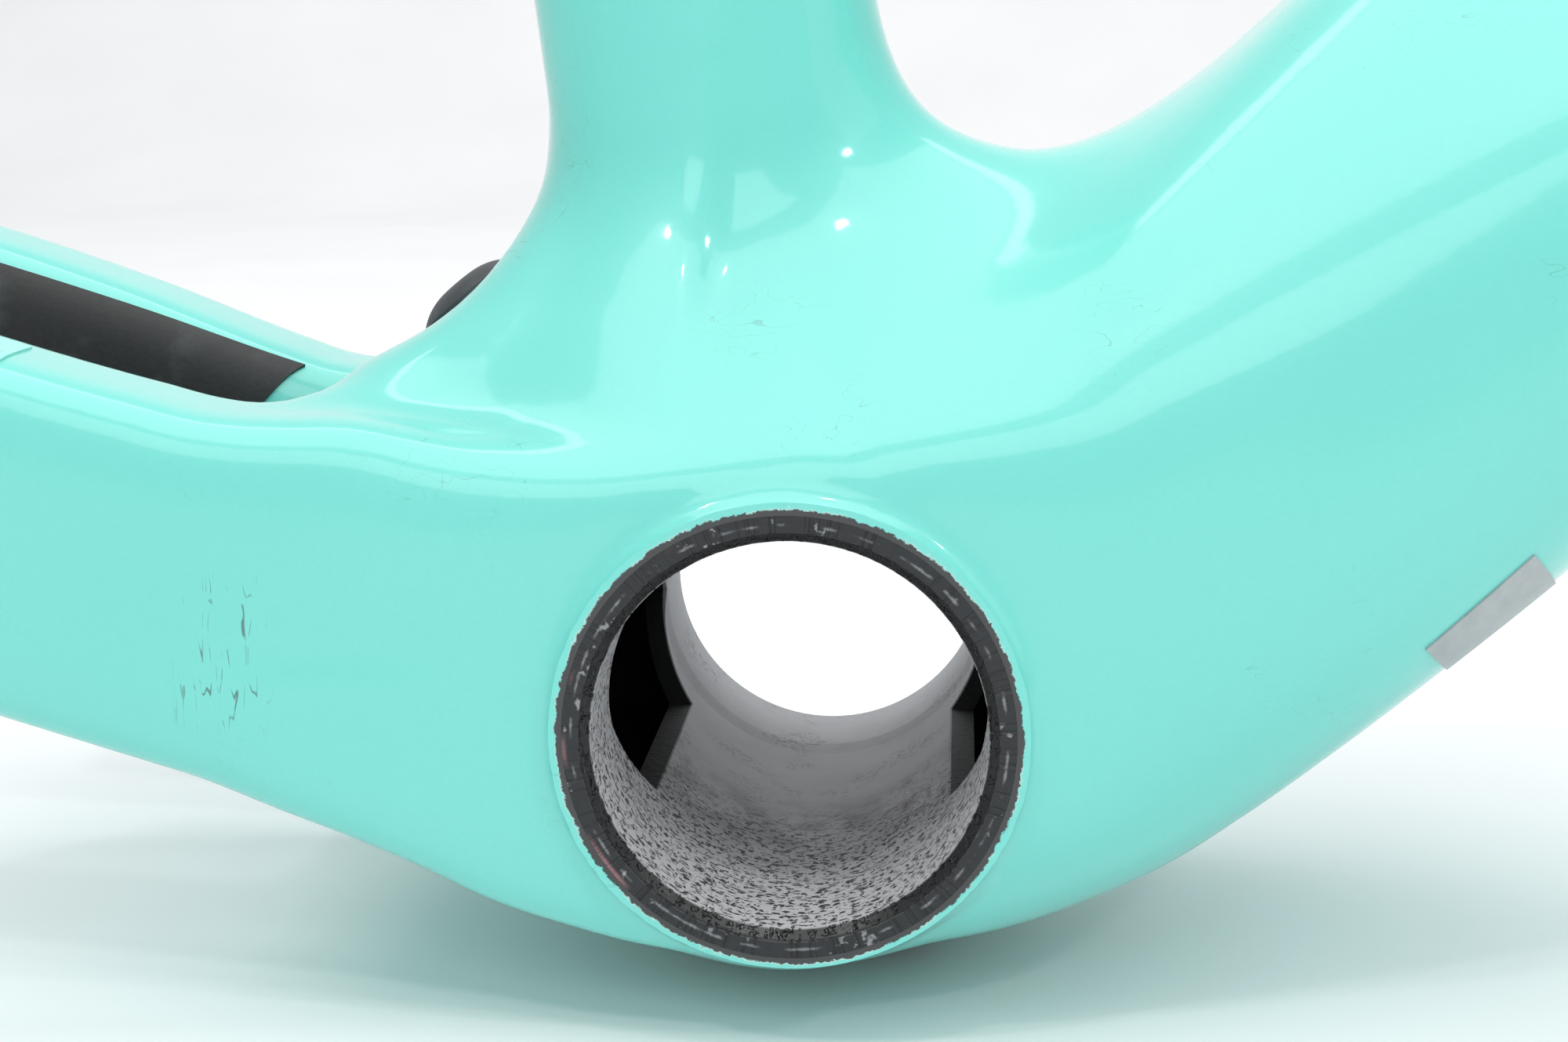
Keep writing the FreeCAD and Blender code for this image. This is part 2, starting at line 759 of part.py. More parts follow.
def make_label(outside):
    """Blank foil on the underside, as thick all over as its film and shaped to the neck."""
    thick = make_down_flare("label_stock", -size("label_thickness"))
    over = boolean("Cut", "label_layer", thick, outside)
    window = make_block(
        "label_window", size("label_window_depth"), size("label_near") - size("label_far"),
        size("label_end") - size("label_start"), DOWN_FRAME,
        Vector(size("label_window_start"), -size("label_near"), size("label_start")))
    return boolean("Common", "underside_label", over, window)


def make_grommet():
    """Domed rubber plug with a neck and an inner barb."""
    body = new_body("cable_exit_grommet", grommet_frame())
    sketch = new_sketch(body, "grommet_profile", "XZ_Plane")
    radius = size("grommet_radius")
    dome = size("grommet_dome")
    neck = size("grommet_neck_radius")
    barb = size("grommet_barb_radius")
    neck_end = -size("grommet_neck_length")
    barb_end = neck_end - size("grommet_barb_length")
    lip = size("grommet_lip")
    crown = size("grommet_crown")
    outline(sketch, [
        ("line", Vector(0, barb_end), Vector(neck, barb_end)),
        ("line", Vector(neck, barb_end), Vector(barb, neck_end)),
        ("line", Vector(barb, neck_end), Vector(neck, neck_end)),
        ("line", Vector(neck, neck_end), Vector(neck, 0)),
        ("line", Vector(neck, 0), Vector(radius, 0)),
        ("line", Vector(radius, 0), Vector(radius, lip)),
        ("arc", Vector(radius, lip), Vector(radius * 0.7, dome * 0.76), Vector(crown, dome)),
        ("line", Vector(crown, dome), Vector(0, dome)),
        ("line", Vector(0, dome), Vector(0, barb_end)),
    ])
    revolve(body, sketch)
    return body


def make_guide():
    """Curved plate under the shell, with two cable grooves and a recess for its screw."""
    belly = size("belly_radius")
    outer = belly + size("guide_thickness")
    body = new_body("cable_guide")
    section = new_sketch(body, "guide_section", "YZ_Plane")
    half = size("guide_half_width")
    polygon(section, [
        Vector(-half, -belly), Vector(half, -belly), Vector(half, -outer), Vector(-half, -outer),
    ])
    plate = revolve(body, section, "Plate")
    plate.ReferenceAxis = (section, ["H_Axis"])
    plate.setExpression("Angle", cell("guide_angle"))
    plate.Midplane = True
    for name, side in (("RightGroove", -1), ("LeftGroove", 1)):
        sketch = new_sketch(body, name + "_section", "YZ_Plane")
        circle = Part.Circle(Vector(side * size("guide_groove_side"), -outer), Vector(0, 0, 1),
                             size("guide_groove_radius"))
        sketch.addGeometry(circle)
        groove = revolve(body, sketch, name, "Groove")
        groove.ReferenceAxis = (sketch, ["H_Axis"])
    clear = 1.0
    holes = [
        ("ScrewHole", "screw_shank_radius", size("guide_thickness") + 2 * clear),
        ("ScrewRecess", "screw_head_radius", size("guide_recess") + clear),
    ]
    for name, radius, depth in holes:
        sketch = new_sketch(body, name + "_circle")
        circle = Part.Circle(Vector(), Vector(0, 0, 1), size(radius) + size("guide_hole_gap"))
        sketch.addGeometry(circle)
        sketch.AttachmentOffset = Placement(Vector(0, 0, -outer - clear), Rotation())
        pocket = body.newObject("PartDesign::Pocket", name)
        pocket.Profile = sketch
        pocket.Reversed = True
        pocket.Length = depth
    return body


def make_screw():
    """Button head screw that holds the guide."""
    seat = size("guide_recess") - size("belly_radius") - size("guide_thickness")
    body = new_body("cable_guide_screw", Placement(Vector(0, 0, seat), Rotation()))
    sketch = new_sketch(body, "screw_profile", "XZ_Plane")
    head = size("screw_head_radius")
    height = size("screw_head_height")
    shank = size("screw_shank_radius")
    length = size("screw_length")
    chamfer = size("screw_tip_chamfer")
    outline(sketch, [
        ("line", Vector(0, length), Vector(shank - chamfer, length)),
        ("line", Vector(shank - chamfer, length), Vector(shank, length - chamfer)),
        ("line", Vector(shank, length - chamfer), Vector(shank, 0)),
        ("line", Vector(shank, 0), Vector(head, 0)),
        ("arc", Vector(head, 0), Vector(head * 0.82, -height * 0.62), Vector(head * 0.5, -height)),
        ("line", Vector(head * 0.5, -height), Vector(0, -height)),
        ("line", Vector(0, -height), Vector(0, length)),
    ])
    revolve(body, sketch)
    socket = new_sketch(body, "screw_socket")
    across = size("screw_socket_radius")
    polygon(socket, [on_circle(Vector(), across, 60 * turn) for turn in range(6)])
    socket.AttachmentOffset = Placement(Vector(0, 0, -height), Rotation())
    pocket = body.newObject("PartDesign::Pocket", "Socket")
    pocket.Profile = socket
    pocket.Reversed = True
    pocket.Length = size("screw_socket_depth")
    return body


def make_insert():
    """Threaded insert in the shell's skin, flange inside."""
    body = new_body("cable_guide_insert", Placement(Vector(0, 0, -size("belly_radius")), Rotation()))
    sketch = new_sketch(body, "insert_profile", "XZ_Plane")
    bore = size("screw_shank_radius")
    radius = size("insert_radius")
    flange = size("insert_flange_radius")
    skin = size("skin")
    flange_end = skin + size("insert_flange_height")
    length = size("insert_length")
    polygon(sketch, [
        Vector(bore, 0), Vector(radius, 0), Vector(radius, skin), Vector(flange, skin),
        Vector(flange, flange_end), Vector(radius, flange_end), Vector(radius, length),
        Vector(bore, length),
    ])
    revolve(body, sketch)
    return body


def rounded_path(points):
    """Straight runs joined by tangent arcs, each as large as its two runs allow."""
    edges = []
    last = points[0]
    for before, corner, after in zip(points, points[1:], points[2:]):
        way_in = (corner - before).normalize()
        way_out = (after - corner).normalize()
        cut = 0.45 * min((corner - before).Length, (after - corner).Length)
        start = corner - way_in * cut
        end = corner + way_out * cut
        turn = way_in.getAngle(way_out)
        radius = cut / math.tan(turn / 2)
        inward = (way_out - way_in).normalize()
        to_corner = radius / math.cos(turn / 2)
        middle = corner + inward * (to_corner - radius)
        edges.append(Part.LineSegment(last, start).toShape())
        edges.append(Part.Arc(start, middle, end).toShape())
        print("liner bend radius %.1f mm" % radius)
        last = end
    edges.append(Part.LineSegment(last, points[-1]).toShape())
    return Part.Wire(edges)


def make_liner():
    """Thin plastic liner tube on its way through the hollow to the right chainstay."""
    path = rounded_path(LINER_ROUTE)
    start = LINER_ROUTE[0]
    way = LINER_ROUTE[1] - start
    tubes = []
    for radius in (size("liner_radius"), size("liner_bore_radius")):
        circle = Part.Wire([Part.makeCircle(radius, start, way)])
        tubes.append(path.makePipeShell([circle], True, False))
    liner = doc.addObject("Part::Feature", "shift_cable_liner")
    liner.Label = "shift_cable_liner"
    liner.Shape = tubes[0].cut(tubes[1])
    section = math.pi * (size("liner_radius") ** 2 - size("liner_bore_radius") ** 2)
    print("liner volume over section times length: %.4f" % (liner.Shape.Volume / section / path.Length))
    return liner


# ------------------------------------------------------------------------------ build

def build():
    """All sub-parts of the junction."""
    shell, outside = make_shell()
    parts = shell + make_tubes()
    parts.append(make_sleeve())
    parts += [make_tyre_guard("right", -1), make_tyre_guard("left", 1), make_film()]
    parts.append(make_label(outside))
    parts += [make_grommet(), make_guide(), make_screw(), make_insert(), make_liner()]
    doc.recompute()
    return parts


def check(parts):
    """Stops the build if any object failed or any sub-part has no valid solid."""
    for item in doc.Objects:
        if "Invalid" in item.State or "Error" in item.State:
            raise RuntimeError(f"{item.Label} failed: {item.State}")
    for part in parts:
        shape = part.Shape
        if shape.isNull() or not shape.isValid() or not shape.Solids:
            raise RuntimeError(f"{part.Label} has no valid solid")
        box = shape.BoundBox
        print(f"{part.Label:22s} solids {len(shape.Solids)} volume {shape.Volume:9.1f} "
              f"x {box.XMin:7.1f} {box.XMax:7.1f} y {box.YMin:6.1f} {box.YMax:6.1f} "
              f"z {box.ZMin:6.1f} {box.ZMax:6.1f}")


def export(parts):
    os.makedirs("parts", exist_ok=True)
    for part in parts:
        part.Shape.exportStep(f"parts/{part.Label}.step")


PARTS = build()
check(PARTS)
export(PARTS)
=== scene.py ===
"""Looks of the bottom bracket junction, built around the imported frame.

The painted skin is one smooth field, negative inside the laminate, in millimetres. It is meshed
once and cut at the same joints as the CAD nodes, so paint and highlights run on across them.
"""

import math

import bmesh
import bpy
import numpy as np
from mathutils import Matrix, Vector


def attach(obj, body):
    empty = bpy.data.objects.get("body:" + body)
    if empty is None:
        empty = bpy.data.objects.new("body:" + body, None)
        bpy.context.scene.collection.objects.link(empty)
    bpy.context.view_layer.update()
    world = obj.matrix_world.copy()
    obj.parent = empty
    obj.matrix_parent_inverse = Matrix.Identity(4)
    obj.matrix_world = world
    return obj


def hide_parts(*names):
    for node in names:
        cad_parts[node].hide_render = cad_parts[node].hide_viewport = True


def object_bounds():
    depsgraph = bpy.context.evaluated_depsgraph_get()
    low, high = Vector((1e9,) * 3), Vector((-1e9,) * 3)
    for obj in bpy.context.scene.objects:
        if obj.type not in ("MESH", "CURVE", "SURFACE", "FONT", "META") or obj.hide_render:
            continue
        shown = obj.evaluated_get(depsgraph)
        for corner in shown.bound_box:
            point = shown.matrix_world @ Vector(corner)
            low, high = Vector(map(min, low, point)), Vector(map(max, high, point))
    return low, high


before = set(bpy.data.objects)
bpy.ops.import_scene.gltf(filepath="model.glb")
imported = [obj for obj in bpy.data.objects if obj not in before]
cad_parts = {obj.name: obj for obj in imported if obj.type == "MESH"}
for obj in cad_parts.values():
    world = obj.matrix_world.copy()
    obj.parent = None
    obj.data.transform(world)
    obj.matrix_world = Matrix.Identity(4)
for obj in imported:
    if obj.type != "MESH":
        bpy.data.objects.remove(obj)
CAD_LOW, CAD_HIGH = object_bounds()

MM = 0.001
GRID = 1.5
INNER_GRID = 2.6

# ---- driving sizes, millimetres, in the row frame ----
BORE = 20.5
SLEEVE = 23.3
FACE = 43.25
SIDE = 41.9
SKIN = 3.0
HOLLOW_REACH = 40.0
GLUE = 0.1
SPIGOT_WALL = 1.6
SPIGOT_REACH = 14.0
BELLY = 31.0
SEAT_LEAN = -7.5
SEAT_FOOT = -2.5
SEAT_HALF_DEPTH = 19.15
SEAT_HALF_WIDTH = 17.0
SEAT_JOINT = 74.0
SEAT_END = 100.0
DOWN_LEAN = 47.0
DOWN_JOINT = 92.0
DOWN_END = 130.0
STAY_LEAN = -73.5
STAY_DROP = 6.65
STAY_SIDE = 31.0
STAY_HALF = 11.0
STAY_JOINT = 74.0
STAY_END = 126.0
YOKE_SPLIT = -46.0
YOKE_REAR = -51.0
REAR_CROTCH = (-58.0, 62.0, 28.1)
FRONT_CROTCH_X = 25.5
BOSS = 24.3
GROMMET_TURN = -50.0
GROMMET_SEAT = 28.0
GUARD_HALF = 17.5
GUARD_LOW_START = 84.0
GUARD_SLANT = 10.5
GUARD_HOLLOW = 2.1
GUARD_THICKNESS = 0.4
FILM_START = 91.5
FILM_LOW = -4.6
FILM_CORNER = 8.0
FILM_CORNER_START = 11.4
FILM_INNER_EDGE = 3.0
FILM_THICKNESS = 0.25
LABEL_STATIONS = (53.5, 68.0)
LABEL_SIDES = (-35.0, -5.0)
LABEL_THICKNESS = 0.25
GRID_LOW = (-134.0, -48.0, -40.0)
GRID_HIGH = (132.0, 48.0, 108.0)


# ---------------------------------------------------------------- smooth field of the skin

def soft_min(a, b, k):
    """Lower of two fields, with a fillet about k wide where they meet."""
    h = np.clip(0.5 + 0.5 * (b - a) / k, 0, 1)
    return b + (a - b) * h - k * h * (1 - h)


def soft_max(a, b, k):
    return -soft_min(-a, -b, k)


def ease(x, low, high):
    t = np.clip((x - low) / (high - low), 0, 1)
    return t * t * (3 - 2 * t)


def curve(x, points):
    """Smooth curve through (place, value) pairs, flat beyond both ends."""
    places = np.array([p for p, _ in points], float)
    values = np.array([v for _, v in points], float)
    slopes = np.gradient(values, places)
    i = np.clip(np.searchsorted(places, x) - 1, 0, len(places) - 2)
    span = places[i + 1] - places[i]
    t = np.clip((x - places[i]) / span, 0, 1)
    rise = values[i] * (2 * t**3 - 3 * t**2 + 1) + values[i + 1] * (3 * t**2 - 2 * t**3)
    return rise + span * (slopes[i] * (t**3 - 2 * t**2 + t) + slopes[i + 1] * (t**3 - t**2))


def arm(x, z, lean, foot_x=0.0, foot_z=0.0):
    """Place across an arm and along it. The arm leans from +Z towards +X."""
    turn = math.radians(lean)
    x = x - foot_x
    z = z - foot_z
    return x * math.cos(turn) - z * math.sin(turn), x * math.sin(turn) + z * math.cos(turn)


def oval(a, b, half_a, half_b, power):
    """Distance, to first order, to a superellipse."""
    ua = np.abs(a) / half_a + 1e-9
    ub = np.abs(b) / half_b + 1e-9
    q = (ua**power + ub**power) ** (1 / power)
    ga = q ** (1 - power) * ua ** (power - 1) / half_a
    gb = q ** (1 - power) * ub ** (power - 1) / half_b
    return (q - 1) / np.sqrt(ga * ga + gb * gb)


def seat_arm(x, y, z):
    """Seat tube, which flares sideways to the shell's width at its foot."""
    a, s = arm(x, z, SEAT_LEAN, SEAT_FOOT)
    wide = curve(s, [(5, 39.5), (15, 39.0), (22, 37.6), (28, 34.6), (34, 29.8), (40, 24.8),
                     (47, 20.2), (55, 17.7), (64, SEAT_HALF_WIDTH), (110, SEAT_HALF_WIDTH)])
    power = curve(s, [(26, 4.4), (40, 3.2), (56, 2.5), (66, 2.35), (110, 2.35)])
    return soft_max(oval(a, y, SEAT_HALF_DEPTH, wide, power), -s, 8)


def down_arm(x, y, z):
    """Down tube and its neck: a rounded top and a squarer, fuller underside."""
    a, s = arm(x, z, DOWN_LEAN)
    middle = curve(s, [(-30, 2.0), (0, 6.0), (30, 10.5), (55, 12.8), (80, 13.2), (130, 13.2)])
    low = curve(s, [(-26, 19.0), (-16, 26.0), (-8, 31.6), (0, 36.6), (9, 40.4), (18, 42.9),
                    (28, 44.4), (39, 45.4), (60, 46.6), (130, 46.6)])
    top = curve(s, [(-30, 22.0), (0, 25.5), (30, 29.0), (55, 31.0), (80, 31.6), (130, 31.6)])
    wide = curve(s, [(-30, 42.0), (0, 42.0), (30, 41.8), (55, 40.4), (92, 38.0), (130, 36.5)])
    top_power = curve(s, [(0, 4.5), (30, 4.0), (60, 3.2), (95, 2.7), (130, 2.6)])
    below = a > middle
    half = np.where(below, low - middle, top)
    power = np.where(below, 3.3, top_power)
    return soft_max(oval(a - middle, y, half, wide, power), -26 - s, 10)


def stay_arms(x, y, z):
    """Both chainstays. The left one's top dips a little more before the yoke."""
    a, s = arm(x, z, STAY_LEAN, 0.0, -STAY_DROP)
    right = curve(s, [(40, 24.5), (56, 23.4), (61.7, 21.7), (65.8, 20.6), (70, 19.8),
                      (78, 19.4), (126, 19.4)])
    left = curve(s, [(40, 23.5), (58, 20.6), (64.4, 18.2), (71, 17.0), (77, 17.2),
                     (97.6, 18.8), (118, 19.5), (126, 19.5)])
    half = np.where(a > 0, np.where(y < 0, right, left), 18.5)
    return soft_max(oval(a, np.abs(y) - STAY_SIDE, half, STAY_HALF, 4.5), 8 - s, 10)


def yoke_block(x, y, z):
    a, _ = arm(x, z, STAY_LEAN, 0.0, -STAY_DROP)
    block = oval(a + 1.0, y, 16.4, 30.0, 6)
    return soft_max(soft_max(block, YOKE_REAR - x, 8), x + 5, 8)


def rear_web(x, side, z):
    """Middle web behind the seat tube's foot, hollowed by a circle in the side view."""
    centre_x, centre_z, radius = REAR_CROTCH
    web = radius - np.sqrt((x - centre_x) ** 2 + (z - centre_z) ** 2)
    web = soft_max(web, -52 - x, 6)
    web = soft_max(web, (z - 64) * 1.4, 8)
    web = soft_max(web, (x + 14) * 3, 6)
    web = soft_max(web, 12 - z, 6)
    half = curve(z, [(0, 24), (20, 24), (36, 23), (44, 17), (52, 10), (58, 6), (64, 4), (90, 4)])
    return soft_max(web, side - half, 8)


def rounding(side):
    """How far the belly has risen at a distance from the middle plane."""
    return 6.6 * np.clip((side - 17) / 25, 0, 2) ** 2


def hub(x, side, z):
    barrel = np.sqrt(x * x + z * z) - (BELLY - 0.3 - rounding(side))
    return soft_max(barrel, side - SIDE, 3)


def keel(x, side, z):
    """Underside between the chainstays and the belly."""
    floor = curve(x, [(-75, -5.5), (-60, -9.8), (-50, -14.2), (-40, -19.2), (-30, -24.0),
                      (-20, -27.4), (-10, -29.6), (0, -30.5), (12, -30.0), (30, -24)])
    under = soft_max((floor + rounding(side) - z) * 0.9, z - 4, 8)
    under = soft_max(under, np.abs(x + 26) - 34, 10)
    return soft_max(under, side - SIDE, 3)


def shoulder(x, side, z):
    """Slanting plane that makes the crease from above the bore up along the down tube."""
    rise = math.radians(21.8)
    ahead = soft_max(x, -4.0 + 0 * x, 10)
    height = math.cos(rise) * z - math.sin(rise) * ahead
    return (side - 38.0 + height - 28.8) / math.sqrt(2)


def skin(x, y, z):
    """Field of the whole painted outside."""
    side = np.abs(y)
    body = soft_min(down_arm(x, y, z), hub(x, side, z), 1.5)
    body = soft_min(body, keel(x, side, z), 1.5)
    body = soft_min(body, yoke_block(x, y, z), 6)
    body = soft_max(body, shoulder(x, side, z), 9)
    body = soft_min(body, stay_arms(x, y, z), 6)
    body = soft_min(body, rear_web(x, side, z), 8)
    middle = 1 - ease(side, 2, 32)
    ahead = ease(x, -30, 22)
    k_middle = 3 + 41 * ahead
    k_side = 22 + 4 * ahead
    body = soft_min(body, seat_arm(x, y, z), k_side + (k_middle - k_side) * middle)
    body = soft_max(body, side - SIDE, 2.5)
    boss = soft_max(np.sqrt(x * x + z * z) - BOSS, side - FACE - 2.0, 0.8)
    return soft_min(body, boss, 3.0)


def hollow(x, y, z):
    """Field of the empty inside: the skin's thickness in, and clear of both end faces."""
    return soft_max(skin(x, y, z) + SKIN, np.abs(y) - HOLLOW_REACH, 1.0)


def spigot_outside(x, y, z):
    return soft_max(skin(x, y, z) + SKIN + GLUE, np.abs(y) - HOLLOW_REACH, 1.0)


def spigot_inside(x, y, z):
    return spigot_outside(x, y, z) + SPIGOT_WALL


# ------------------------------------------------------------------------- meshing

def slope(field, points, step=0.05):
    """Gradient of a field at many points."""
    columns = []
    for axis in range(3):
        nudge = np.zeros(3)
        nudge[axis] = step
        ahead = field(*(points + nudge).T)
        behind = field(*(points - nudge).T)
        columns.append((ahead - behind) / (2 * step))
    return np.stack(columns, 1)


def crossings(values, cells, step, low):
    """Point in each cell: the mean of where its edges cross zero."""
    total = np.zeros((len(cells), 3))
    count = np.zeros(len(cells))
    i, j, k = cells.T
    for corner in np.ndindex(2, 2, 2):
        for axis in range(3):
            if corner[axis]:
                continue
            far = list(corner)
            far[axis] = 1
            a = values[i + corner[0], j + corner[1], k + corner[2]]
            b = values[i + far[0], j + far[1], k + far[2]]
            cut = (a < 0) != (b < 0)
            share = np.where(cut, a / np.where(cut, a - b, 1), 0)
            point = np.tile(np.array(corner, float), (len(cells), 1))
            point[:, axis] += share
            total += point * cut[:, None]
            count += cut
    return np.array(low) + step * (cells + total / count[:, None])


def surface(field, step):
    """Quads of the field's zero surface, each vertex moved exactly onto it."""
    low = np.array(GRID_LOW)
    counts = np.ceil((np.array(GRID_HIGH) - low) / step).astype(int) + 1
    axes = [low[axis] + step * np.arange(counts[axis]) for axis in range(3)]
    values = field(*np.meshgrid(*axes, indexing="ij"))
    inside = values < 0
    corners = [inside[a:counts[0] - 1 + a, b:counts[1] - 1 + b, c:counts[2] - 1 + c]
               for a, b, c in np.ndindex(2, 2, 2)]
    filled = sum(corner.astype(np.int8) for corner in corners)
    cells = np.argwhere((filled > 0) & (filled < 8))
    index = np.full(filled.shape, -1)
    index[tuple(cells.T)] = np.arange(len(cells))
    points = crossings(values, cells, step, low)
    for _ in range(3):
        g = slope(field, points)
        move = g * (field(*points.T) / np.maximum((g * g).sum(1), 1e-6))[:, None]
        points = points - np.clip(move, -step / 2, step / 2)
    faces = []
    for axis in range(3):
        first, second = (axis + 1) % 3, (axis + 2) % 3
        here = np.take(inside, range(counts[axis] - 1), axis=axis)
        there = np.take(inside, range(1, counts[axis]), axis=axis)
        edges = np.argwhere(here != there)
        clear = (edges[:, first] > 0) & (edges[:, second] > 0)
        clear &= (edges[:, first] < counts[first] - 1) & (edges[:, second] < counts[second] - 1)
        edges = edges[clear]
        ring = []
        for back_first, back_second in ((0, 0), (1, 0), (1, 1), (0, 1)):
            cell = edges.copy()
            cell[:, first] -= back_first
            cell[:, second] -= back_second
            ring.append(index[tuple(cell.T)])
        quads = np.stack(ring, 1)
        leaving = here[tuple(edges.T)]
        quads[leaving] = quads[leaving][:, ::-1]
        faces.append(quads[:, ::-1])
    return points, np.concatenate(faces)


def laminate(outside, inside, outer_step, inner_step):
    """Closed layer between two fields over the whole junction, still uncut."""
    outer_points, outer_faces = surface(outside, outer_step)
    inner_points, inner_faces = surface(inside, inner_step)
    points = np.concatenate([outer_points, inner_points])
    faces = outer_faces.tolist() + (inner_faces[:, ::-1] + len(outer_points)).tolist()
    mesh = bpy.data.meshes.new("laminate")
    mesh.from_pydata(points.tolist(), [], faces)
    made = bmesh.new()
    made.from_mesh(mesh)
    bpy.data.meshes.remove(mesh)
    return made


LAMINATE = laminate(skin, hollow, GRID, INNER_GRID)


def station_plane(lean, station, foot_x=0.0, foot_z=0.0):
    """Point and direction of the plane across an arm at a station."""
    turn = math.radians(lean)
    way = Vector((math.sin(turn), 0, math.cos(turn)))
    return Vector((foot_x, 0, foot_z)) + way * station, way


def seat_plane(station):
    return station_plane(SEAT_LEAN, station, SEAT_FOOT)


def down_plane(station):
    return station_plane(DOWN_LEAN, station)


def stay_plane(station):
    return station_plane(STAY_LEAN, station, 0.0, -STAY_DROP)


def beyond(plane):
    """The same plane, keeping what lies further along the arm."""
    point, way = plane
    return point, -way


def cut_out(layer, planes):
    """Closed copy of a layer on the near side of every plane."""
    made = layer.copy()
    for point, way in planes:
        everything = made.verts[:] + made.edges[:] + made.faces[:]
        done = bmesh.ops.bisect_plane(
            made, geom=everything, dist=1e-4, plane_co=point, plane_no=way, clear_outer=True)
        rim = [item for item in done["geom_cut"] if isinstance(item, bmesh.types.BMEdge)]
        rim = [edge for edge in rim if edge.is_valid and len(edge.link_faces) == 1]
        if rim:
            bmesh.ops.triangle_fill(made, use_beauty=True, edges=rim, normal=way)
    return made


def round_cutter(radius, low, high, place, sides=192):
    """Cylinder about the place's Z, as a bmesh in millimetres."""
    made = bmesh.new()
    bmesh.ops.create_cone(
        made, cap_ends=True, segments=sides, radius1=radius, radius2=radius, depth=high - low)
    middle = Matrix.Translation((0, 0, (high + low) / 2))
    bmesh.ops.transform(made, matrix=place @ middle, verts=made.verts)
    return made


def grommet_place():
    """Frame on the rear crotch, Z out of the shell."""
    centre_x, centre_z, _ = REAR_CROTCH
    turn = math.radians(GROMMET_TURN)
    way_in = Vector((math.cos(turn), 0, math.sin(turn)))
    seat = Vector((centre_x, 0, centre_z)) + way_in * GROMMET_SEAT
    return Matrix.Translation(seat) @ (-way_in).to_track_quat("Z", "Y").to_matrix().to_4x4()


# ---- radii of what is bored through the skin, besides the bore ----
GROMMET_HOLE = 4.0
GROMMET_RECESS = 6.6
SCREW_HOLE = 3.6


def holes():
    """The bore, the grommet's hole and the cable guide screw's hole."""
    along_bore = Matrix.Rotation(math.radians(90), 4, "X")
    return [
        round_cutter(SLEEVE + 0.01, -60, 60, along_bore, 256),
        round_cutter(GROMMET_HOLE, -8, 4, grommet_place(), 48),
        round_cutter(GROMMET_RECESS, 0, 6.5, grommet_place(), 64),
        round_cutter(SCREW_HOLE, -BELLY - 4, -BELLY + 6, Matrix.Identity(4), 48),
    ]


def object_of(made, name):
    """Object of a bmesh in millimetres, shown in metres."""
    bmesh.ops.transform(made, matrix=Matrix.Scale(MM, 4), verts=made.verts)
    mesh = bpy.data.meshes.new(name)
    made.to_mesh(mesh)
    made.free()
    shown = bpy.data.objects.new(name, mesh)
    bpy.context.scene.collection.objects.link(shown)
    return shown


def bore_out(piece, cutters):
    """Exact cut of the cutters out of a piece, applied to its mesh."""
    tools = [object_of(cutter, "cutter") for cutter in cutters]
    for tool in tools:
        modifier = piece.modifiers.new("hole", "BOOLEAN")
        modifier.operation = "DIFFERENCE"
        modifier.solver = "EXACT"
        modifier.object = tool
    bpy.context.view_layer.update()
    graph = bpy.context.evaluated_depsgraph_get()
    mesh = bpy.data.meshes.new_from_object(piece.evaluated_get(graph))
    piece.modifiers.clear()
    piece.data = mesh
    for tool in tools:
        bpy.data.objects.remove(tool)


def unit(vectors):
    return vectors / np.maximum(np.linalg.norm(vectors, axis=1, keepdims=True), 1e-9)


# how near a face lies to a field's surface, and how well it looks the same way, to take its normal
ON_SKIN = 0.25
ON_HOLLOW = 0.4
ON_FACE = 0.02
SAME_WAY = 0.75


def dress(piece, outside, inside):
    """Exact normals from the fields, paint on the outside and bare laminate elsewhere."""
    mesh = piece.data
    count = len(mesh.polygons)
    totals = np.empty(count, int)
    normals = np.empty(count * 3)
    centres = np.empty(count * 3)
    mesh.polygons.foreach_get("loop_total", totals)
    mesh.polygons.foreach_get("normal", normals)
    mesh.polygons.foreach_get("center", centres)
    normals = normals.reshape(-1, 3)
    centres = centres.reshape(-1, 3) / MM
    way_out = unit(slope(skin, centres))
    away = np.abs(skin(*centres.T))
    painted = (away < ON_SKIN) & ((normals * way_out).sum(1) > SAME_WAY)
    on_face = np.abs(np.abs(centres[:, 1]) - FACE) < ON_FACE
    painted &= ~on_face
    vertices = np.empty(len(mesh.loops), int)
    mesh.loops.foreach_get("vertex_index", vertices)
    places = np.empty(len(mesh.vertices) * 3)
    mesh.vertices.foreach_get("co", places)
    places = places.reshape(-1, 3) / MM
    smooth_out = unit(slope(skin, places))
    smooth_in = -unit(slope(hollow, places))
    way_in = -unit(slope(hollow, centres))
    lined = (np.abs(hollow(*centres.T)) < ON_HOLLOW) & ((normals * way_in).sum(1) > SAME_WAY)
    owner = np.repeat(np.arange(count), totals)
    chosen = normals[owner]
    chosen[painted[owner]] = smooth_out[vertices[painted[owner]]]
    only_lined = lined & ~painted
    chosen[only_lined[owner]] = smooth_in[vertices[only_lined[owner]]]
    mesh.materials.clear()
    mesh.materials.append(outside)
    mesh.materials.append(inside)
    mesh.polygons.foreach_set("material_index", np.where(painted | on_face, 0, 1))
    mesh.polygons.foreach_set("use_smooth", np.ones(count, bool))
    mesh.normals_split_custom_set(chosen.tolist())
    mesh.update()


def finish_piece(piece, slot, *nodes):
    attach(piece, "root")
    if nodes:
        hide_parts(*nodes)
    return piece


# ------------------------------------------------------------------------ materials

# colour sockets of a Mix node, whose float and vector sockets come first under the same names
MIX_COLOUR_A = 6
MIX_COLOUR_B = 7
MIX_COLOUR_OUT = 2


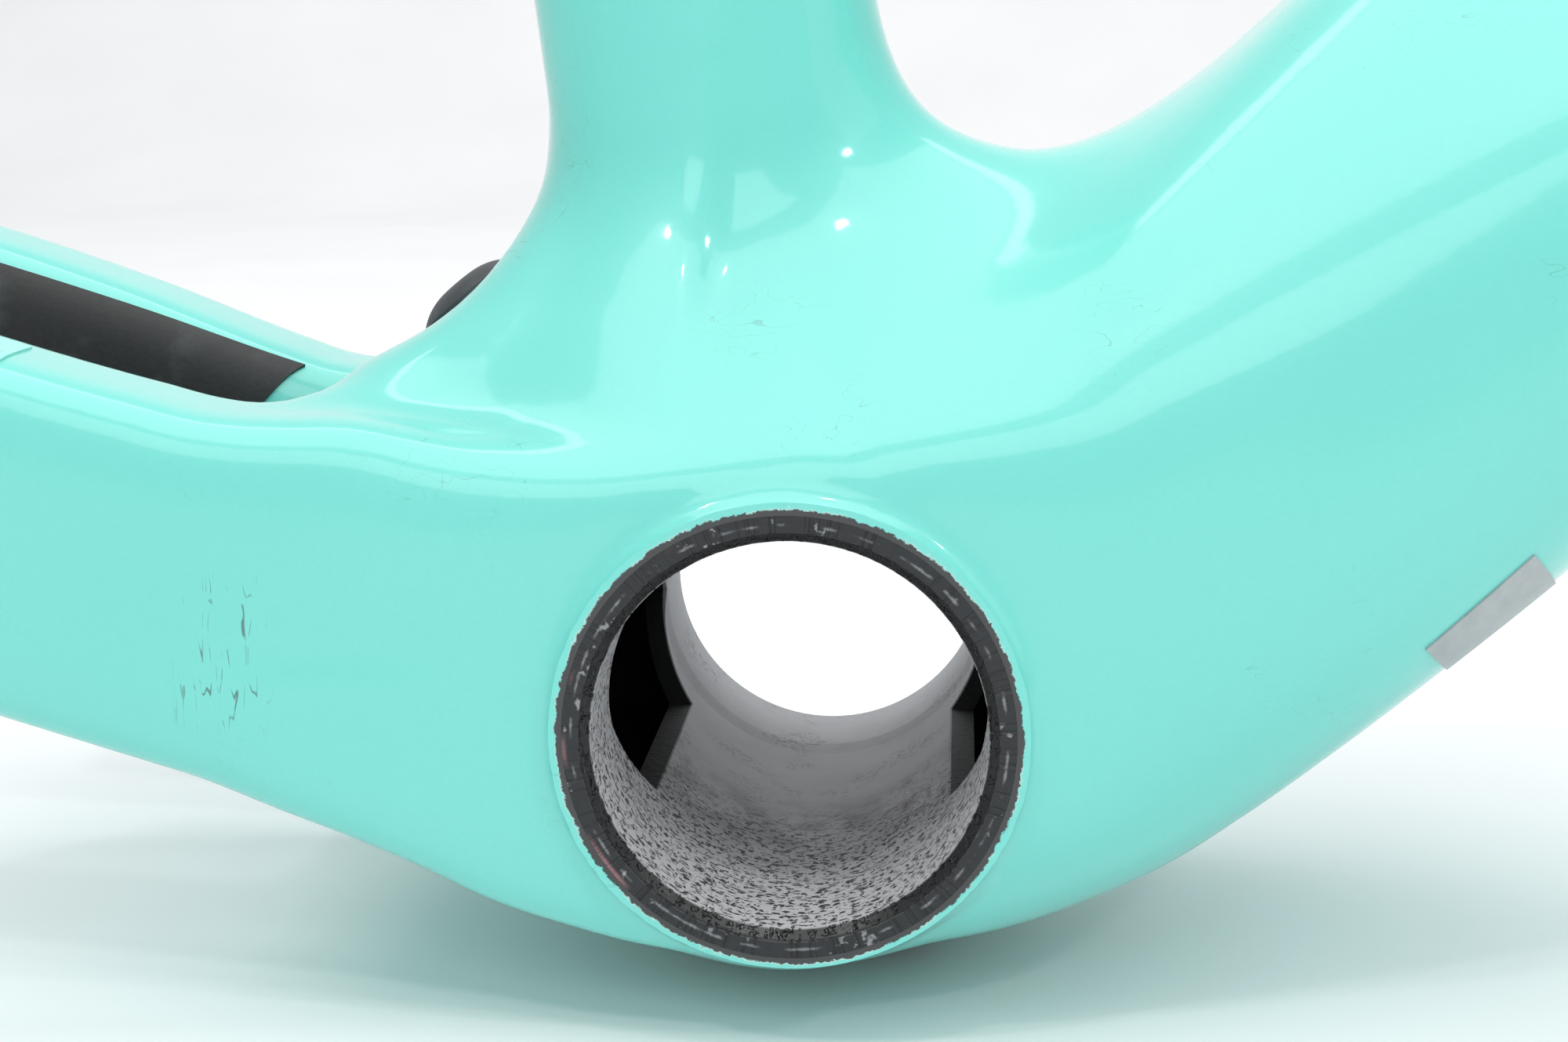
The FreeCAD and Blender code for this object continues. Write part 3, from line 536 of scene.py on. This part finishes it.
class Maker:
    """Small helper that builds one procedural material."""

    def __init__(self, name):
        self.material = bpy.data.materials.new(name)
        self.material.use_nodes = True
        self.tree = self.material.node_tree
        self.shader = self.tree.nodes["Principled BSDF"]
        place = self.tree.nodes.new("ShaderNodeTexCoord").outputs["Object"]
        scaled = self.tree.nodes.new("ShaderNodeVectorMath")
        scaled.operation = "SCALE"
        scaled.inputs["Scale"].default_value = 1000.0
        self.join(place, scaled.inputs[0])
        self.place = scaled.outputs[0]

    def join(self, output, socket):
        self.tree.links.new(output, socket)

    def feed(self, value, socket):
        """Link an output, or set a plain number or colour."""
        if isinstance(value, bpy.types.NodeSocket):
            self.join(value, socket)
        else:
            socket.default_value = value

    def sum(self, operation, a, b=0.0):
        node = self.tree.nodes.new("ShaderNodeMath")
        node.operation = operation
        for value, socket in zip((a, b), node.inputs):
            self.feed(value, socket)
        return node.outputs[0]

    def add(self, a, b):
        return self.sum("ADD", a, b)

    def times(self, a, b):
        return self.sum("MULTIPLY", a, b)

    def band(self, value, low, high):
        """0 below low and 1 above high, or the other way round when low is the larger."""
        node = self.tree.nodes.new("ShaderNodeMapRange")
        node.interpolation_type = "SMOOTHSTEP"
        flip = low > high
        self.feed(value, node.inputs["Value"])
        node.inputs["From Min"].default_value = min(low, high)
        node.inputs["From Max"].default_value = max(low, high)
        node.inputs["To Min"].default_value = 1.0 if flip else 0.0
        node.inputs["To Max"].default_value = 0.0 if flip else 1.0
        return node.outputs[0]

    def split(self, vector):
        node = self.tree.nodes.new("ShaderNodeSeparateXYZ")
        self.join(vector, node.inputs[0])
        return node.outputs

    def merge(self, x, y, z):
        node = self.tree.nodes.new("ShaderNodeCombineXYZ")
        for value, socket in zip((x, y, z), node.inputs):
            self.feed(value, socket)
        return node.outputs[0]

    def stretch(self, vector, factors, turn=(0, 0, 0), shift=(0, 0, 0)):
        node = self.tree.nodes.new("ShaderNodeMapping")
        self.join(vector, node.inputs["Vector"])
        node.inputs["Location"].default_value = shift
        node.inputs["Rotation"].default_value = [math.radians(angle) for angle in turn]
        node.inputs["Scale"].default_value = factors
        return node.outputs[0]

    def noise(self, scale, detail=3.0, vector=None, rough=0.5, distortion=0.0):
        """Noise with a pitch of about 1/scale mm."""
        node = self.tree.nodes.new("ShaderNodeTexNoise")
        self.join(vector or self.place, node.inputs["Vector"])
        node.inputs["Scale"].default_value = scale
        node.inputs["Detail"].default_value = detail
        node.inputs["Roughness"].default_value = rough
        node.inputs["Distortion"].default_value = distortion
        return node.outputs["Fac"]

    def blend(self, share, a, b):
        """Colour from a to b."""
        node = self.tree.nodes.new("ShaderNodeMix")
        node.data_type = "RGBA"
        self.feed(share, node.inputs["Factor"])
        self.feed(a, node.inputs[MIX_COLOUR_A])
        self.feed(b, node.inputs[MIX_COLOUR_B])
        return node.outputs[MIX_COLOUR_OUT]

    def bump(self, height, strength, depth, below=None):
        node = self.tree.nodes.new("ShaderNodeBump")
        node.inputs["Strength"].default_value = strength
        node.inputs["Distance"].default_value = depth * MM
        self.feed(height, node.inputs["Height"])
        if below:
            self.join(below, node.inputs["Normal"])
        return node.outputs["Normal"]

    def set(self, **values):
        for name, value in values.items():
            self.feed(value, self.shader.inputs[name.replace("_", " ")])


def colour(red, green, blue):
    """Linear colour of an sRGB one."""
    def linear(value):
        value = value / 255
        return value / 12.92 if value <= 0.04045 else ((value + 0.055) / 1.055) ** 2.4
    return linear(red), linear(green), linear(blue), 1.0


def radius_of(m):
    """Distance from the bore's axis and from the middle plane."""
    x, y, z = m.split(m.place)
    flat = m.add(m.times(x, x), m.times(z, z))
    return m.sum("SQRT", flat), m.sum("ABSOLUTE", y), (x, y, z)


def scratches(m, across, along, width):
    """Fine wavering lines: where a stretched noise passes its middle value."""
    wavy = m.noise(1.0, 1.0, m.stretch(m.place, (across, 0.3, along)), 0.5, 0.3)
    return m.band(m.sum("ABSOLUTE", m.add(wavy, -0.5)), width, width / 3)


def make_paint():
    m = Maker("celeste_paint")
    radius, side, (x, y, z) = radius_of(m)
    tint = m.blend(m.noise(0.02, 2.0), colour(110, 211, 200), colour(119, 218, 208))
    fine = m.blend(m.times(m.noise(1.7, 4.0), 0.35), tint, colour(98, 202, 191))
    ragged = m.add(m.times(m.noise(1.1, 5.0, rough=0.7), 1.3), -0.65)
    edge = m.add(radius, ragged)
    on_face = m.band(side, 42.7, 43.0)
    broken = m.band(m.noise(0.22, 3.0), 0.40, 0.56)
    primer = m.times(m.times(m.band(edge, 24.15, 23.95), on_face), broken)
    bare = m.times(m.band(edge, 24.0, 23.85), on_face)
    coloured = m.blend(m.times(primer, 0.6), fine, colour(214, 226, 224))
    coloured = m.blend(bare, coloured, colour(42, 44, 46))
    near_stay = m.times(m.band(m.sum("ABSOLUTE", m.add(x, 59.0)), 6, 3), m.band(y, -30, -36))
    near_stay = m.times(near_stay, m.band(m.sum("ABSOLUTE", m.add(z, -7.5)), 9, 6))
    worn = m.times(scratches(m, 0.9, 0.12, 0.02), m.band(m.noise(0.35, 2.0), 0.48, 0.56))
    hair = m.times(scratches(m, 0.25, 0.5, 0.006), m.band(m.noise(0.05, 2.0), 0.58, 0.68))
    worn = m.add(m.times(m.times(worn, near_stay), 0.8), m.times(hair, 0.25))
    coloured = m.blend(worn, coloured, colour(58, 92, 90))
    gloss = m.add(0.33, m.times(m.noise(0.5, 3.0), 0.14))
    gloss = m.add(gloss, m.times(bare, 0.3))
    peel = m.bump(m.noise(0.55, 2.0), 0.05, 0.25)
    chipped = m.bump(m.times(bare, -1.0), 0.6, 0.3, peel)
    m.set(Base_Color=coloured, Roughness=gloss, Normal=chipped)
    m.set(Coat_Weight=0.85, Coat_Roughness=0.09, Coat_Normal=peel, Coat_IOR=1.5)
    return m.material


def make_raw(name, low, high):
    """Bare moulded laminate: near black with crossing fibre bundles."""
    m = Maker(name)
    weave = m.times(m.noise(0.9, 2.0, m.stretch(m.place, (1, 1, 6), (0, 45, 0))),
                    m.noise(0.9, 2.0, m.stretch(m.place, (1, 1, 6), (0, -45, 0))))
    share = m.band(weave, 0.15, 0.40)
    tone = m.blend(share, low, high)
    m.set(Base_Color=tone, Roughness=m.add(0.55, m.times(m.noise(0.6), 0.3)))
    m.set(Normal=m.bump(weave, 0.35, 0.3))
    return m.material


def make_bore():
    """Machined dark faces, and the grey dusted fibre wall between them, with painted shade towards the
    middle of the bore.
    """
    m = Maker("bore_fibre")
    radius, side, (x, y, z) = radius_of(m)
    around = m.times(m.sum("ARCTAN2", z, x), BORE)
    wrapped = m.merge(around, y, 0.0)
    near = m.add(m.band(y, 6, -26), m.times(m.band(m.noise(0.12, 3.0, wrapped), 0.5, 0.62), 0.25))
    # woven flecks: short dashes in rows, broken up by noise
    rows = m.noise(1.0, 1.5, m.stretch(wrapped, (0.75, 2.1, 1), (0, 0, 30)), 0.6, 0.4)
    knots = m.noise(1.0, 2.0, m.stretch(wrapped, (1.5, 0.9, 1), (0, 0, -8), (9, 3, 0)), 0.6, 0.5)
    pits = m.times(m.band(rows, 0.47, 0.55), m.band(knots, 0.46, 0.54))
    pits = m.times(pits, m.sum("MINIMUM", near, 1.0))
    cloudy = m.noise(0.09, 4.0, wrapped, 0.6)
    wall = m.blend(cloudy, colour(178, 179, 182), colour(214, 215, 217))
    # painted shade: the wall darkens in cloudy patches towards the middle of the bore; the pink rust
    # stains sit in the same zone
    mid_bore_shade_zone = m.times(m.band(m.sum("ABSOLUTE", m.add(y, 8.0)), 18, 3), m.band(cloudy, 0.40, 0.62))
    wall = m.blend(m.times(mid_bore_shade_zone, 0.6), wall, colour(100, 96, 99))
    stained = m.noise(0.16, 3.0, m.stretch(wrapped, (1, 1, 1), shift=(5, 9, 0)))
    rust = m.times(m.band(stained, 0.56, 0.68), mid_bore_shade_zone)
    wall = m.blend(m.times(rust, 0.6), wall, colour(104, 78, 80))
    wall = m.blend(m.sum("MINIMUM", m.times(pits, 1.3), 0.97), wall, colour(26, 28, 30))
    # dark machined end faces, scuffed along a circle at half width, with pale chips
    grain = m.noise(1.3, 5.0, rough=0.7)
    face = m.blend(grain, colour(20, 22, 24), colour(50, 53, 56))
    middle = m.add(m.sum("ABSOLUTE", m.add(radius, -22.35)), m.times(grain, 0.5))
    scuff = m.times(m.band(middle, 0.48, 0.22), m.band(m.noise(0.35, 3.0), 0.47, 0.60))
    face = m.blend(m.times(scuff, 0.65), face, colour(150, 153, 156))
    chips = m.times(m.band(m.noise(0.75, 4.0), 0.64, 0.70), 0.6)
    face = m.blend(chips, face, colour(168, 170, 172))
    patchy = m.band(m.noise(0.10, 1.0), 0.60, 0.68)
    pink = m.times(patchy, m.times(m.band(radius, 22.7, 23.1), m.band(x, -8, -14)))
    face = m.blend(m.times(pink, 0.7), face, colour(178, 130, 136))
    at_face = m.band(side, 43.15, 43.22)
    inner = m.band(radius, 21.5, 21.3)
    mouth = m.times(m.band(side, 42.0, 42.25), m.sum("SUBTRACT", 1.0, at_face))
    outer = m.band(radius, 21.0, 21.15)
    beyond_wall = m.times(outer, m.sum("SUBTRACT", 1.0, at_face))
    tone = m.blend(at_face, wall, face)
    tone = m.blend(mouth, tone, colour(20, 21, 22))
    tone = m.blend(beyond_wall, tone, colour(22, 23, 24))
    gloss = m.add(0.42, m.times(grain, 0.3))
    gloss = m.sum("SUBTRACT", gloss, m.times(m.times(mouth, inner), 0.3))
    relief = m.bump(m.sum("SUBTRACT", 1.0, pits), 0.8, 0.25)
    rough = m.bump(grain, 0.35, 0.12, relief)
    m.set(Base_Color=tone, Roughness=gloss, Normal=rough, Specular_IOR_Level=0.45)
    return m.material


def make_plastic(name, low, high, gloss, scale=0.8, depth=0.1):
    """Moulded part with a mottled tone and a fine grain."""
    m = Maker(name)
    mottled = m.noise(scale, 4.0, rough=0.6)
    tone = m.blend(mottled, low, high)
    worn = m.band(m.noise(0.3, 3.0), 0.55, 0.7)
    m.set(Base_Color=m.blend(m.times(worn, 0.25), tone, colour(120, 122, 124)))
    m.set(Roughness=m.add(gloss, m.times(mottled, 0.2)), Normal=m.bump(mottled, 0.3, depth))
    return m.material


def make_metal(name, tone, gloss, turn):
    """Turned or pressed metal with fine tool marks."""
    m = Maker(name)
    lines = m.noise(4.0, 3.0, m.stretch(m.place, (1, 1, 0.15), turn))
    darker = tuple(value * 0.6 for value in tone[:3]) + (1.0,)
    m.set(Base_Color=m.blend(m.noise(1.2, 3.0), darker, tone), Metallic=1.0)
    m.set(Roughness=m.add(gloss, m.times(lines, 0.2)), Normal=m.bump(lines, 0.25, 0.05))
    return m.material


def make_guard():
    """Black anti-wear patch; its grey patches are partly dust and partly a painted sheen."""
    m = Maker("guard_sheet")
    grain = m.noise(1.5, 5.0, rough=0.7)
    # painted sheen and dust: grey patches blended into the black by noise
    dust_and_sheen = m.band(m.noise(0.13, 4.0), 0.50, 0.72)
    tone = m.blend(grain, colour(18, 20, 21), colour(34, 37, 38))
    m.set(Base_Color=m.blend(m.times(dust_and_sheen, 0.30), tone, colour(96, 102, 102)))
    m.set(Roughness=m.add(0.34, m.times(grain, 0.25)), Normal=m.bump(grain, 0.4, 0.12))
    return m.material


def make_film_look():
    """Clear film: the paint's tone with its own soft gloss and fine wear."""
    m = Maker("clear_film")
    wear = m.times(scratches(m, 0.2, 0.6, 0.01), m.band(m.noise(0.1, 2.0), 0.45, 0.6))
    tone = m.blend(m.noise(0.2, 3.0), colour(124, 222, 210), colour(140, 232, 221))
    m.set(Base_Color=m.blend(m.times(wear, 0.6), tone, colour(70, 110, 106)))
    m.set(Roughness=m.add(0.16, m.times(m.noise(0.7, 3.0), 0.2)))
    m.set(Coat_Weight=0.5, Coat_Roughness=0.12, Normal=m.bump(m.noise(0.4, 3.0), 0.1, 0.2))
    return m.material


def make_foil():
    m = Maker("grey_foil")
    crease = m.noise(0.35, 4.0, rough=0.65)
    m.set(Base_Color=m.blend(crease, colour(150, 156, 158), colour(192, 197, 198)))
    m.set(Roughness=m.add(0.3, m.times(crease, 0.25)), Normal=m.bump(crease, 0.4, 0.15))
    m.set(Metallic=0.35)
    return m.material


PAINT = make_paint()
RAW = make_raw("raw_laminate", colour(9, 10, 11), colour(26, 28, 30))
SPIGOT = make_raw("spigot_laminate", colour(14, 15, 16), colour(44, 46, 49))
NODE_LOOKS = {
    "bb_sleeve": make_bore(),
    "seat_tube_spigot": SPIGOT,
    "chainstay_plug_right": SPIGOT,
    "chainstay_plug_left": SPIGOT,
    "cable_exit_grommet": make_plastic("grommet_rubber", colour(34, 36, 38), colour(70, 74, 77), 0.4),
    "cable_guide": make_plastic("guide_nylon", colour(20, 21, 22), colour(40, 42, 44), 0.35),
    "cable_guide_screw": make_metal("screw_steel", colour(176, 178, 180), 0.22, (0, 0, 0)),
    "cable_guide_insert": make_metal("insert_brass", colour(196, 164, 104), 0.28, (0, 90, 0)),
    "shift_cable_liner": make_plastic("liner_tube", colour(150, 152, 150), colour(198, 200, 198), 0.3),
}
for node, look in NODE_LOOKS.items():
    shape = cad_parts[node].data
    shape.materials.clear()
    shape.materials.append(look)


# --------------------------------------------------------------------- painted pieces

def painted(name, planes, slot, nodes, cutters=()):
    """One painted piece of the laminate, cut at its joints."""
    piece = object_of(cut_out(LAMINATE, planes), name)
    if cutters:
        bore_out(piece, cutters)
    dress(piece, PAINT, RAW)
    return finish_piece(piece, slot, *nodes)


split_at = Vector((YOKE_SPLIT, 0, 0))
forward = Vector((1, 0, 0))
level = Vector((0, 1, 0))
middle = Vector((0, 0, 0))
crotch = Vector((FRONT_CROTCH_X, 0, 0))

painted("shell_skin", [(split_at, -forward), seat_plane(SEAT_JOINT), down_plane(DOWN_JOINT),
                       (level * FACE, level), (level * -FACE, -level)],
        "paint", ["bb_shell_lug", "seat_tube_socket", "down_tube_socket"], holes())
painted("yoke_skin", [(split_at, forward), stay_plane(STAY_JOINT)], "paint", ["chainstay_yoke"])
painted("seat_tube_skin", [beyond(seat_plane(SEAT_JOINT)), seat_plane(SEAT_END), (crotch, forward)],
        "paint", ["seat_tube"])
painted("down_tube_skin", [beyond(down_plane(DOWN_JOINT)), down_plane(DOWN_END)],
        "paint", ["down_tube"])
painted("chainstay_skin_right", [beyond(stay_plane(STAY_JOINT)), stay_plane(STAY_END), (middle, level)],
        "paint", ["chainstay_right"])
painted("chainstay_skin_left", [beyond(stay_plane(STAY_JOINT)), stay_plane(STAY_END), (middle, -level)],
        "paint", ["chainstay_left"])


def make_spigot():
    """Bonding sleeve inside the down tube's joint, which follows the creased skin."""
    layer = laminate(spigot_outside, spigot_inside, INNER_GRID, INNER_GRID)
    planes = [beyond(down_plane(DOWN_JOINT - SPIGOT_REACH)), down_plane(DOWN_JOINT + SPIGOT_REACH)]
    piece = object_of(cut_out(layer, planes), "down_tube_inner_sleeve")
    layer.free()
    piece.data.materials.append(SPIGOT)
    finish_piece(piece, "raw_composite", "down_tube_spigot")


make_spigot()


# ------------------------------------------------------------------ patches on the skin

def onto_skin(points):
    for _ in range(6):
        g = slope(skin, points)
        move = g * (skin(*points.T) / np.maximum((g * g).sum(1), 1e-6))[:, None]
        points = points - np.clip(move, -1.5, 1.5)
    return points


def from_arm(a, s, lean, foot_x=0.0, foot_z=0.0):
    turn = math.radians(lean)
    x = a * math.cos(turn) + s * math.sin(turn) + foot_x
    z = -a * math.sin(turn) + s * math.cos(turn) + foot_z
    return x, z


def patch(name, grid, thickness, look, slot, node):
    """Closed thin sheet on the skin. grid is rows by columns of points near it."""
    rows, columns, _ = grid.shape
    low = onto_skin(grid.reshape(-1, 3))
    normals = unit(slope(skin, low))
    high = low + normals * thickness
    low = low - normals * 0.1
    count = rows * columns
    faces = []
    for i in range(rows - 1):
        for j in range(columns - 1):
            a = i * columns + j
            quad = [a, a + 1, a + columns + 1, a + columns]
            faces.append([corner + count for corner in quad])
            faces.append(quad[::-1])
    border = list(range(columns))
    border += [i * columns + columns - 1 for i in range(1, rows)]
    border += [(rows - 1) * columns + j for j in range(columns - 2, -1, -1)]
    border += [i * columns for i in range(rows - 2, 0, -1)]
    for here, there in zip(border, border[1:] + border[:1]):
        faces.append([here, here + count, there + count, there][::-1])
    made = bmesh.new()
    corners = [made.verts.new(point) for point in np.concatenate([low, high])]
    for face in faces:
        made.faces.new([corners[index] for index in face])
    bmesh.ops.recalc_face_normals(made, faces=made.faces)
    piece = object_of(made, name)
    mesh = piece.data
    mesh.materials.append(look)
    mesh.polygons.foreach_set("use_smooth", np.ones(len(mesh.polygons), bool))
    chosen = []
    for polygon in mesh.polygons:
        for corner in polygon.vertices:
            across = Vector(normals[corner % count])
            chosen.append(across if polygon.normal.dot(across) > 0.7 else polygon.normal.copy())
    mesh.normals_split_custom_set(chosen)
    return finish_piece(piece, slot, node)


def guard_grid(side):
    """Inner face of a chainstay, with a concave front end that leans back."""
    rows, columns = 41, 61
    points = np.zeros((rows, columns, 3))
    for i, share in enumerate(np.linspace(0, 1, rows)):
        start = GUARD_LOW_START - GUARD_SLANT * share + 4 * GUARD_HOLLOW * share * (1 - share)
        a = GUARD_HALF * (2 * share - 1)
        for j, s in enumerate(np.linspace(start, STAY_END, columns)):
            x, z = from_arm(a, s, STAY_LEAN, 0.0, -STAY_DROP)
            points[i, j] = x, side * (STAY_SIDE - STAY_HALF + 1.5 * abs(2 * share - 1) ** 4), z
    return points


def film_grid():
    """Top and outer face of the right chainstay, with a rounded front corner."""
    turn = np.linspace(0, math.pi / 2, 17)
    path = [(a, -STAY_HALF) for a in np.linspace(FILM_LOW, FILM_CORNER_START, 17)]
    outer = FILM_CORNER - STAY_HALF
    path += [(FILM_CORNER_START + FILM_CORNER * math.sin(t), outer - FILM_CORNER * math.cos(t))
             for t in turn[1:]]
    top = FILM_CORNER_START + FILM_CORNER
    path += [(top, across) for across in np.linspace(outer, FILM_INNER_EDGE, 7)[1:]]
    points = np.zeros((len(path), 41, 3))
    for i, (a, across) in enumerate(path):
        low_end = max(0.0, 1 - i / 5)
        start = FILM_START + 4.0 * (1 - math.sqrt(1 - low_end**2))
        for j, s in enumerate(np.linspace(start, STAY_END, 41)):
            x, z = from_arm(a, s, STAY_LEAN, 0.0, -STAY_DROP)
            points[i, j] = x, -STAY_SIDE + across, z
    return points


def label_grid():
    """Underside of the down tube's neck, towards the near side."""
    points = np.zeros((25, 33, 3))
    for i, s in enumerate(np.linspace(*LABEL_STATIONS, 25)):
        for j, across in enumerate(np.linspace(*LABEL_SIDES, 33)):
            fall = (1 - (abs(across) / 41.0) ** 3.3) ** (1 / 3.3)
            x, z = from_arm(13.0 + 33.0 * fall, s, DOWN_LEAN)
            points[i, j] = x, across, z
    return points


GUARD_LOOK = make_guard()
patch("tyre_guard_sheet_right", guard_grid(-1), GUARD_THICKNESS, GUARD_LOOK, "guard",
      "tyre_guard_right")
patch("tyre_guard_sheet_left", guard_grid(1), GUARD_THICKNESS, GUARD_LOOK, "guard",
      "tyre_guard_left")
patch("chainstay_film_sheet", film_grid(), FILM_THICKNESS, make_film_look(), "film",
      "chainstay_film")
patch("underside_label_sheet", label_grid(), LABEL_THICKNESS, make_foil(), "foil",
      "underside_label")
LAMINATE.free()


# ------------------------------------------------------------------ stage, lamps, camera

# ---- metres, degrees and watts ----
FLOOR_HALF_WIDTH = 2.5
FLOOR_FRONT = -0.9
FLOOR_BEND = 1.2
FLOOR_BEND_RADIUS = 0.5
FLOOR_TOP = 2.2
CAMERA_PLACE = (0.01673, -0.28945, 0.06965)
CAMERA_LENS = 57.57
CAMERA_YAW = -3.98
CAMERA_PITCH = 10.75
SKY_COLOUR = (0.93, 0.96, 0.97, 1.0)
SKY_STRENGTH = 0.60
MIDDLE = (0.0, 0.0, 0.0)
# name, place, what it points at, size of a rectangle or of a disk, power
LAMPS = [
    ("sky_panel", (0.0, -0.15, 0.85), MIDDLE, (1.1, 0.9), 4.8),
    ("front_panel", (-0.08, -0.80, 0.46), MIDDLE, (0.45, 0.35), 0.95),
    ("side_panel", (0.95, -0.3, 0.4), MIDDLE, (0.6, 0.6), 0.6),
    ("back_panel", (0.0, 0.55, 1.3), (0.0, 1.7, 0.3), (1.6, 0.5), 9.0),
    ("spot_left", (-0.33, -0.42, 0.62), MIDDLE, 0.05, 0.6),
    ("spot_middle", (0.10, -0.36, 0.74), MIDDLE, 0.04, 0.45),
    ("spot_right", (0.48, -0.40, 0.50), MIDDLE, 0.04, 0.45),
]


def make_floor():
    """White floor that sweeps up far behind into a backdrop. From below it lets the view through."""
    m = Maker("studio_floor")
    soft = m.noise(0.01, 2.0)
    m.set(Base_Color=m.blend(soft, colour(238, 238, 239), colour(248, 248, 249)))
    m.set(Roughness=m.add(0.42, m.times(soft, 0.1)), Specular_IOR_Level=0.25)
    facing = m.tree.nodes.new("ShaderNodeNewGeometry").outputs["Backfacing"]
    clear = m.tree.nodes.new("ShaderNodeBsdfTransparent").outputs["BSDF"]
    either = m.tree.nodes.new("ShaderNodeMixShader")
    m.join(facing, either.inputs[0])
    m.join(m.shader.outputs["BSDF"], either.inputs[1])
    m.join(clear, either.inputs[2])
    m.join(either.outputs[0], m.tree.nodes["Material Output"].inputs["Surface"])
    profile = [(FLOOR_FRONT, 0.0), (FLOOR_BEND, 0.0)]
    for step in range(1, 17):
        turn = math.radians(90 * step / 16)
        ahead = FLOOR_BEND + FLOOR_BEND_RADIUS * math.sin(turn)
        profile.append((ahead, FLOOR_BEND_RADIUS - FLOOR_BEND_RADIUS * math.cos(turn)))
    profile.append((FLOOR_BEND + FLOOR_BEND_RADIUS, FLOOR_TOP))
    made = bmesh.new()
    height = CAD_LOW.z
    lines = []
    for across in (-FLOOR_HALF_WIDTH, FLOOR_HALF_WIDTH):
        lines.append([made.verts.new((across, y, z + height)) for y, z in profile])
    for here in range(len(profile) - 1):
        made.faces.new([lines[0][here], lines[1][here], lines[1][here + 1], lines[0][here + 1]])
    mesh = bpy.data.meshes.new("studio_floor")
    made.to_mesh(mesh)
    made.free()
    mesh.materials.append(m.material)
    mesh.polygons.foreach_set("use_smooth", np.ones(len(mesh.polygons), bool))
    floor = bpy.data.objects.new("studio_floor", mesh)
    bpy.context.scene.collection.objects.link(floor)


def lamp(name, place, target, size, power):
    light = bpy.data.lights.new(name, "AREA")
    if isinstance(size, float):
        light.shape = "DISK"
        light.size = size
    else:
        light.shape = "RECTANGLE"
        light.size, light.size_y = size
    light.energy = power
    shown = bpy.data.objects.new(name, light)
    shown.location = place
    away = Vector(place) - Vector(target)
    shown.rotation_euler = away.to_track_quat("Z", "Y").to_euler()
    bpy.context.scene.collection.objects.link(shown)


def make_camera():
    camera = bpy.data.cameras.new("camera")
    camera.sensor_width = 36.0
    camera.lens = CAMERA_LENS
    camera.clip_start = 0.01
    camera.clip_end = 20.0
    shown = bpy.data.objects.new("camera", camera)
    shown.location = CAMERA_PLACE
    yaw = math.radians(CAMERA_YAW)
    pitch = math.radians(CAMERA_PITCH)
    level = math.cos(pitch)
    ahead = Vector((math.sin(yaw) * level, math.cos(yaw) * level, -math.sin(pitch)))
    shown.rotation_euler = ahead.to_track_quat("-Z", "Y").to_euler()
    bpy.context.scene.collection.objects.link(shown)
    bpy.context.scene.camera = shown


make_floor()
make_camera()
for name, place, target, size, power in LAMPS:
    lamp(name, place, target, size, power)

world = bpy.data.worlds.new("studio")
world.use_nodes = True
background = world.node_tree.nodes["Background"]
background.inputs["Color"].default_value = SKY_COLOUR
background.inputs["Strength"].default_value = SKY_STRENGTH
bpy.context.scene.world = world
bpy.context.scene.view_settings.view_transform = "Standard"
